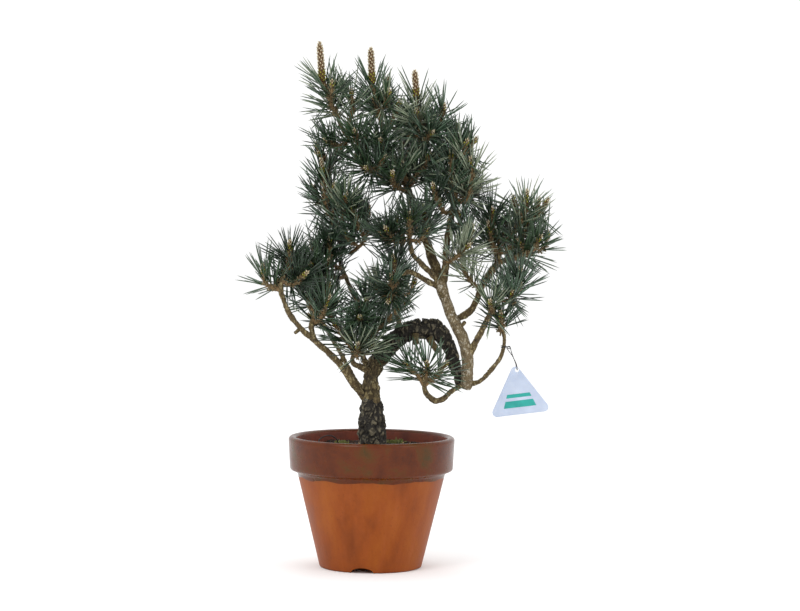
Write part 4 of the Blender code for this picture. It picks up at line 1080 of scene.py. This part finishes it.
turn = np.arange(len(run)) * 0.55
for strand in (0, math.pi):
    tube(twine, run + (side * np.cos(turn + strand)[:, None] + up * np.sin(turn + strand)[:, None]) * STRING_RADIUS * 0.5, np.full(len(run), STRING_RADIUS * 0.58), 8)
bough_mid, bough_round = np.array(at(503.7, 346.6, -28.2)), 0.0034
hitch = [bough_mid + (bough_round * math.cos(a), bough_round * math.sin(a), 0.0010 * math.sin(a * 0.5)) for a in np.linspace(0, math.tau * 2, 60)]
tube(twine, np.array(hitch), np.full(60, STRING_RADIUS * 0.9), 8)
for end in (STRING[0], STRING[-1]):
    tail = catmull(np.array([at(*end), 0.5 * (np.array(at(*end)) + bough_mid + (bough_round, -0.001, 0.001)), bough_mid + (bough_round, -0.0004, 0)]), 0.0006)
    tube(twine, tail, np.full(len(tail), STRING_RADIUS * 0.9), 8)
knot = np.array(at(508.9, 347.5, -30))
ring = np.array([knot + (0.0016 * math.cos(a), 0.0012 * math.sin(2 * a), 0.0016 * math.sin(a)) for a in np.linspace(0, math.tau * 1.9, 40)])
tube(twine, ring, np.full(len(ring), STRING_RADIUS), 8)
show("tag_twine", twine.mesh("tag_twine"), speckled("twine", srgb(20, 20, 22), srgb(52, 50, 50), 600, 0.85), ["tag_string"])

# ================================================================ floor, light, camera
bm = bmesh.new()
bmesh.ops.create_circle(bm, cap_ends=True, segments=96, radius=60.0)
floor_mesh = bpy.data.meshes.new("floor")
bm.to_mesh(floor_mesh)
bm.free()
floor = bpy.data.objects.new("floor", floor_mesh)
floor.location.z = -0.0002
floor_look = Look("floor_white", roughness=0.9, Base_Color=(0.97, 0.97, 0.97, 1.0), Specular_IOR_Level=0.0)
floor.data.materials.append(floor_look.material)
bpy.context.scene.collection.objects.link(floor)
floor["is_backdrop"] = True
world = bpy.data.worlds.new("studio")
world.use_nodes = True
world.node_tree.nodes["Background"].inputs["Color"].default_value = (1, 1, 1, 1)
world.node_tree.nodes["Background"].inputs["Strength"].default_value = 1.06
bpy.context.scene.world = world
for name, where, size, power in (("key", (-1.5, -2.2, 2.4), 1.4, 30), ("fill", (2.0, -1.6, 1.3), 1.3, 8), ("top", (0.2, 0.9, 2.8), 1.8, 14)):
    light = bpy.data.lights.new(name, "AREA")
    light.shape = "SQUARE"
    light.size = size
    light.energy = power
    lamp = bpy.data.objects.new(name, light)
    lamp.location = where
    lamp.rotation_euler = (Vector((0.02, 0, 0.33)) - Vector(where)).to_track_quat("-Z", "Y").to_euler()
    bpy.context.scene.collection.objects.link(lamp)
    lamp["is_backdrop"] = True
camera = bpy.data.cameras.new("camera")
camera.sensor_width = 36.0
camera.lens = 36.0 * SHEET / 800.0
eye = bpy.data.objects.new("camera", camera)
ahead = Vector((0, math.cos(SHEET_DIP), -math.sin(SHEET_DIP)))
lift = Vector((0, math.sin(SHEET_DIP), math.cos(SHEET_DIP)))
across = Vector((math.cos(SHEET_TURN), 0, 0)) + lift * math.sin(SHEET_TURN)
upward = Vector((-math.sin(SHEET_TURN), 0, 0)) + lift * math.cos(SHEET_TURN)
eye.matrix_world = Matrix((across, upward, -ahead)).transposed().to_4x4()
eye.location = EYE
bpy.context.scene.collection.objects.link(eye)
bpy.context.scene.camera = eye
eye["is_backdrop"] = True
bpy.context.scene.view_settings.view_transform = "Standard"

bpy.context.view_layer.update()
low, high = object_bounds()
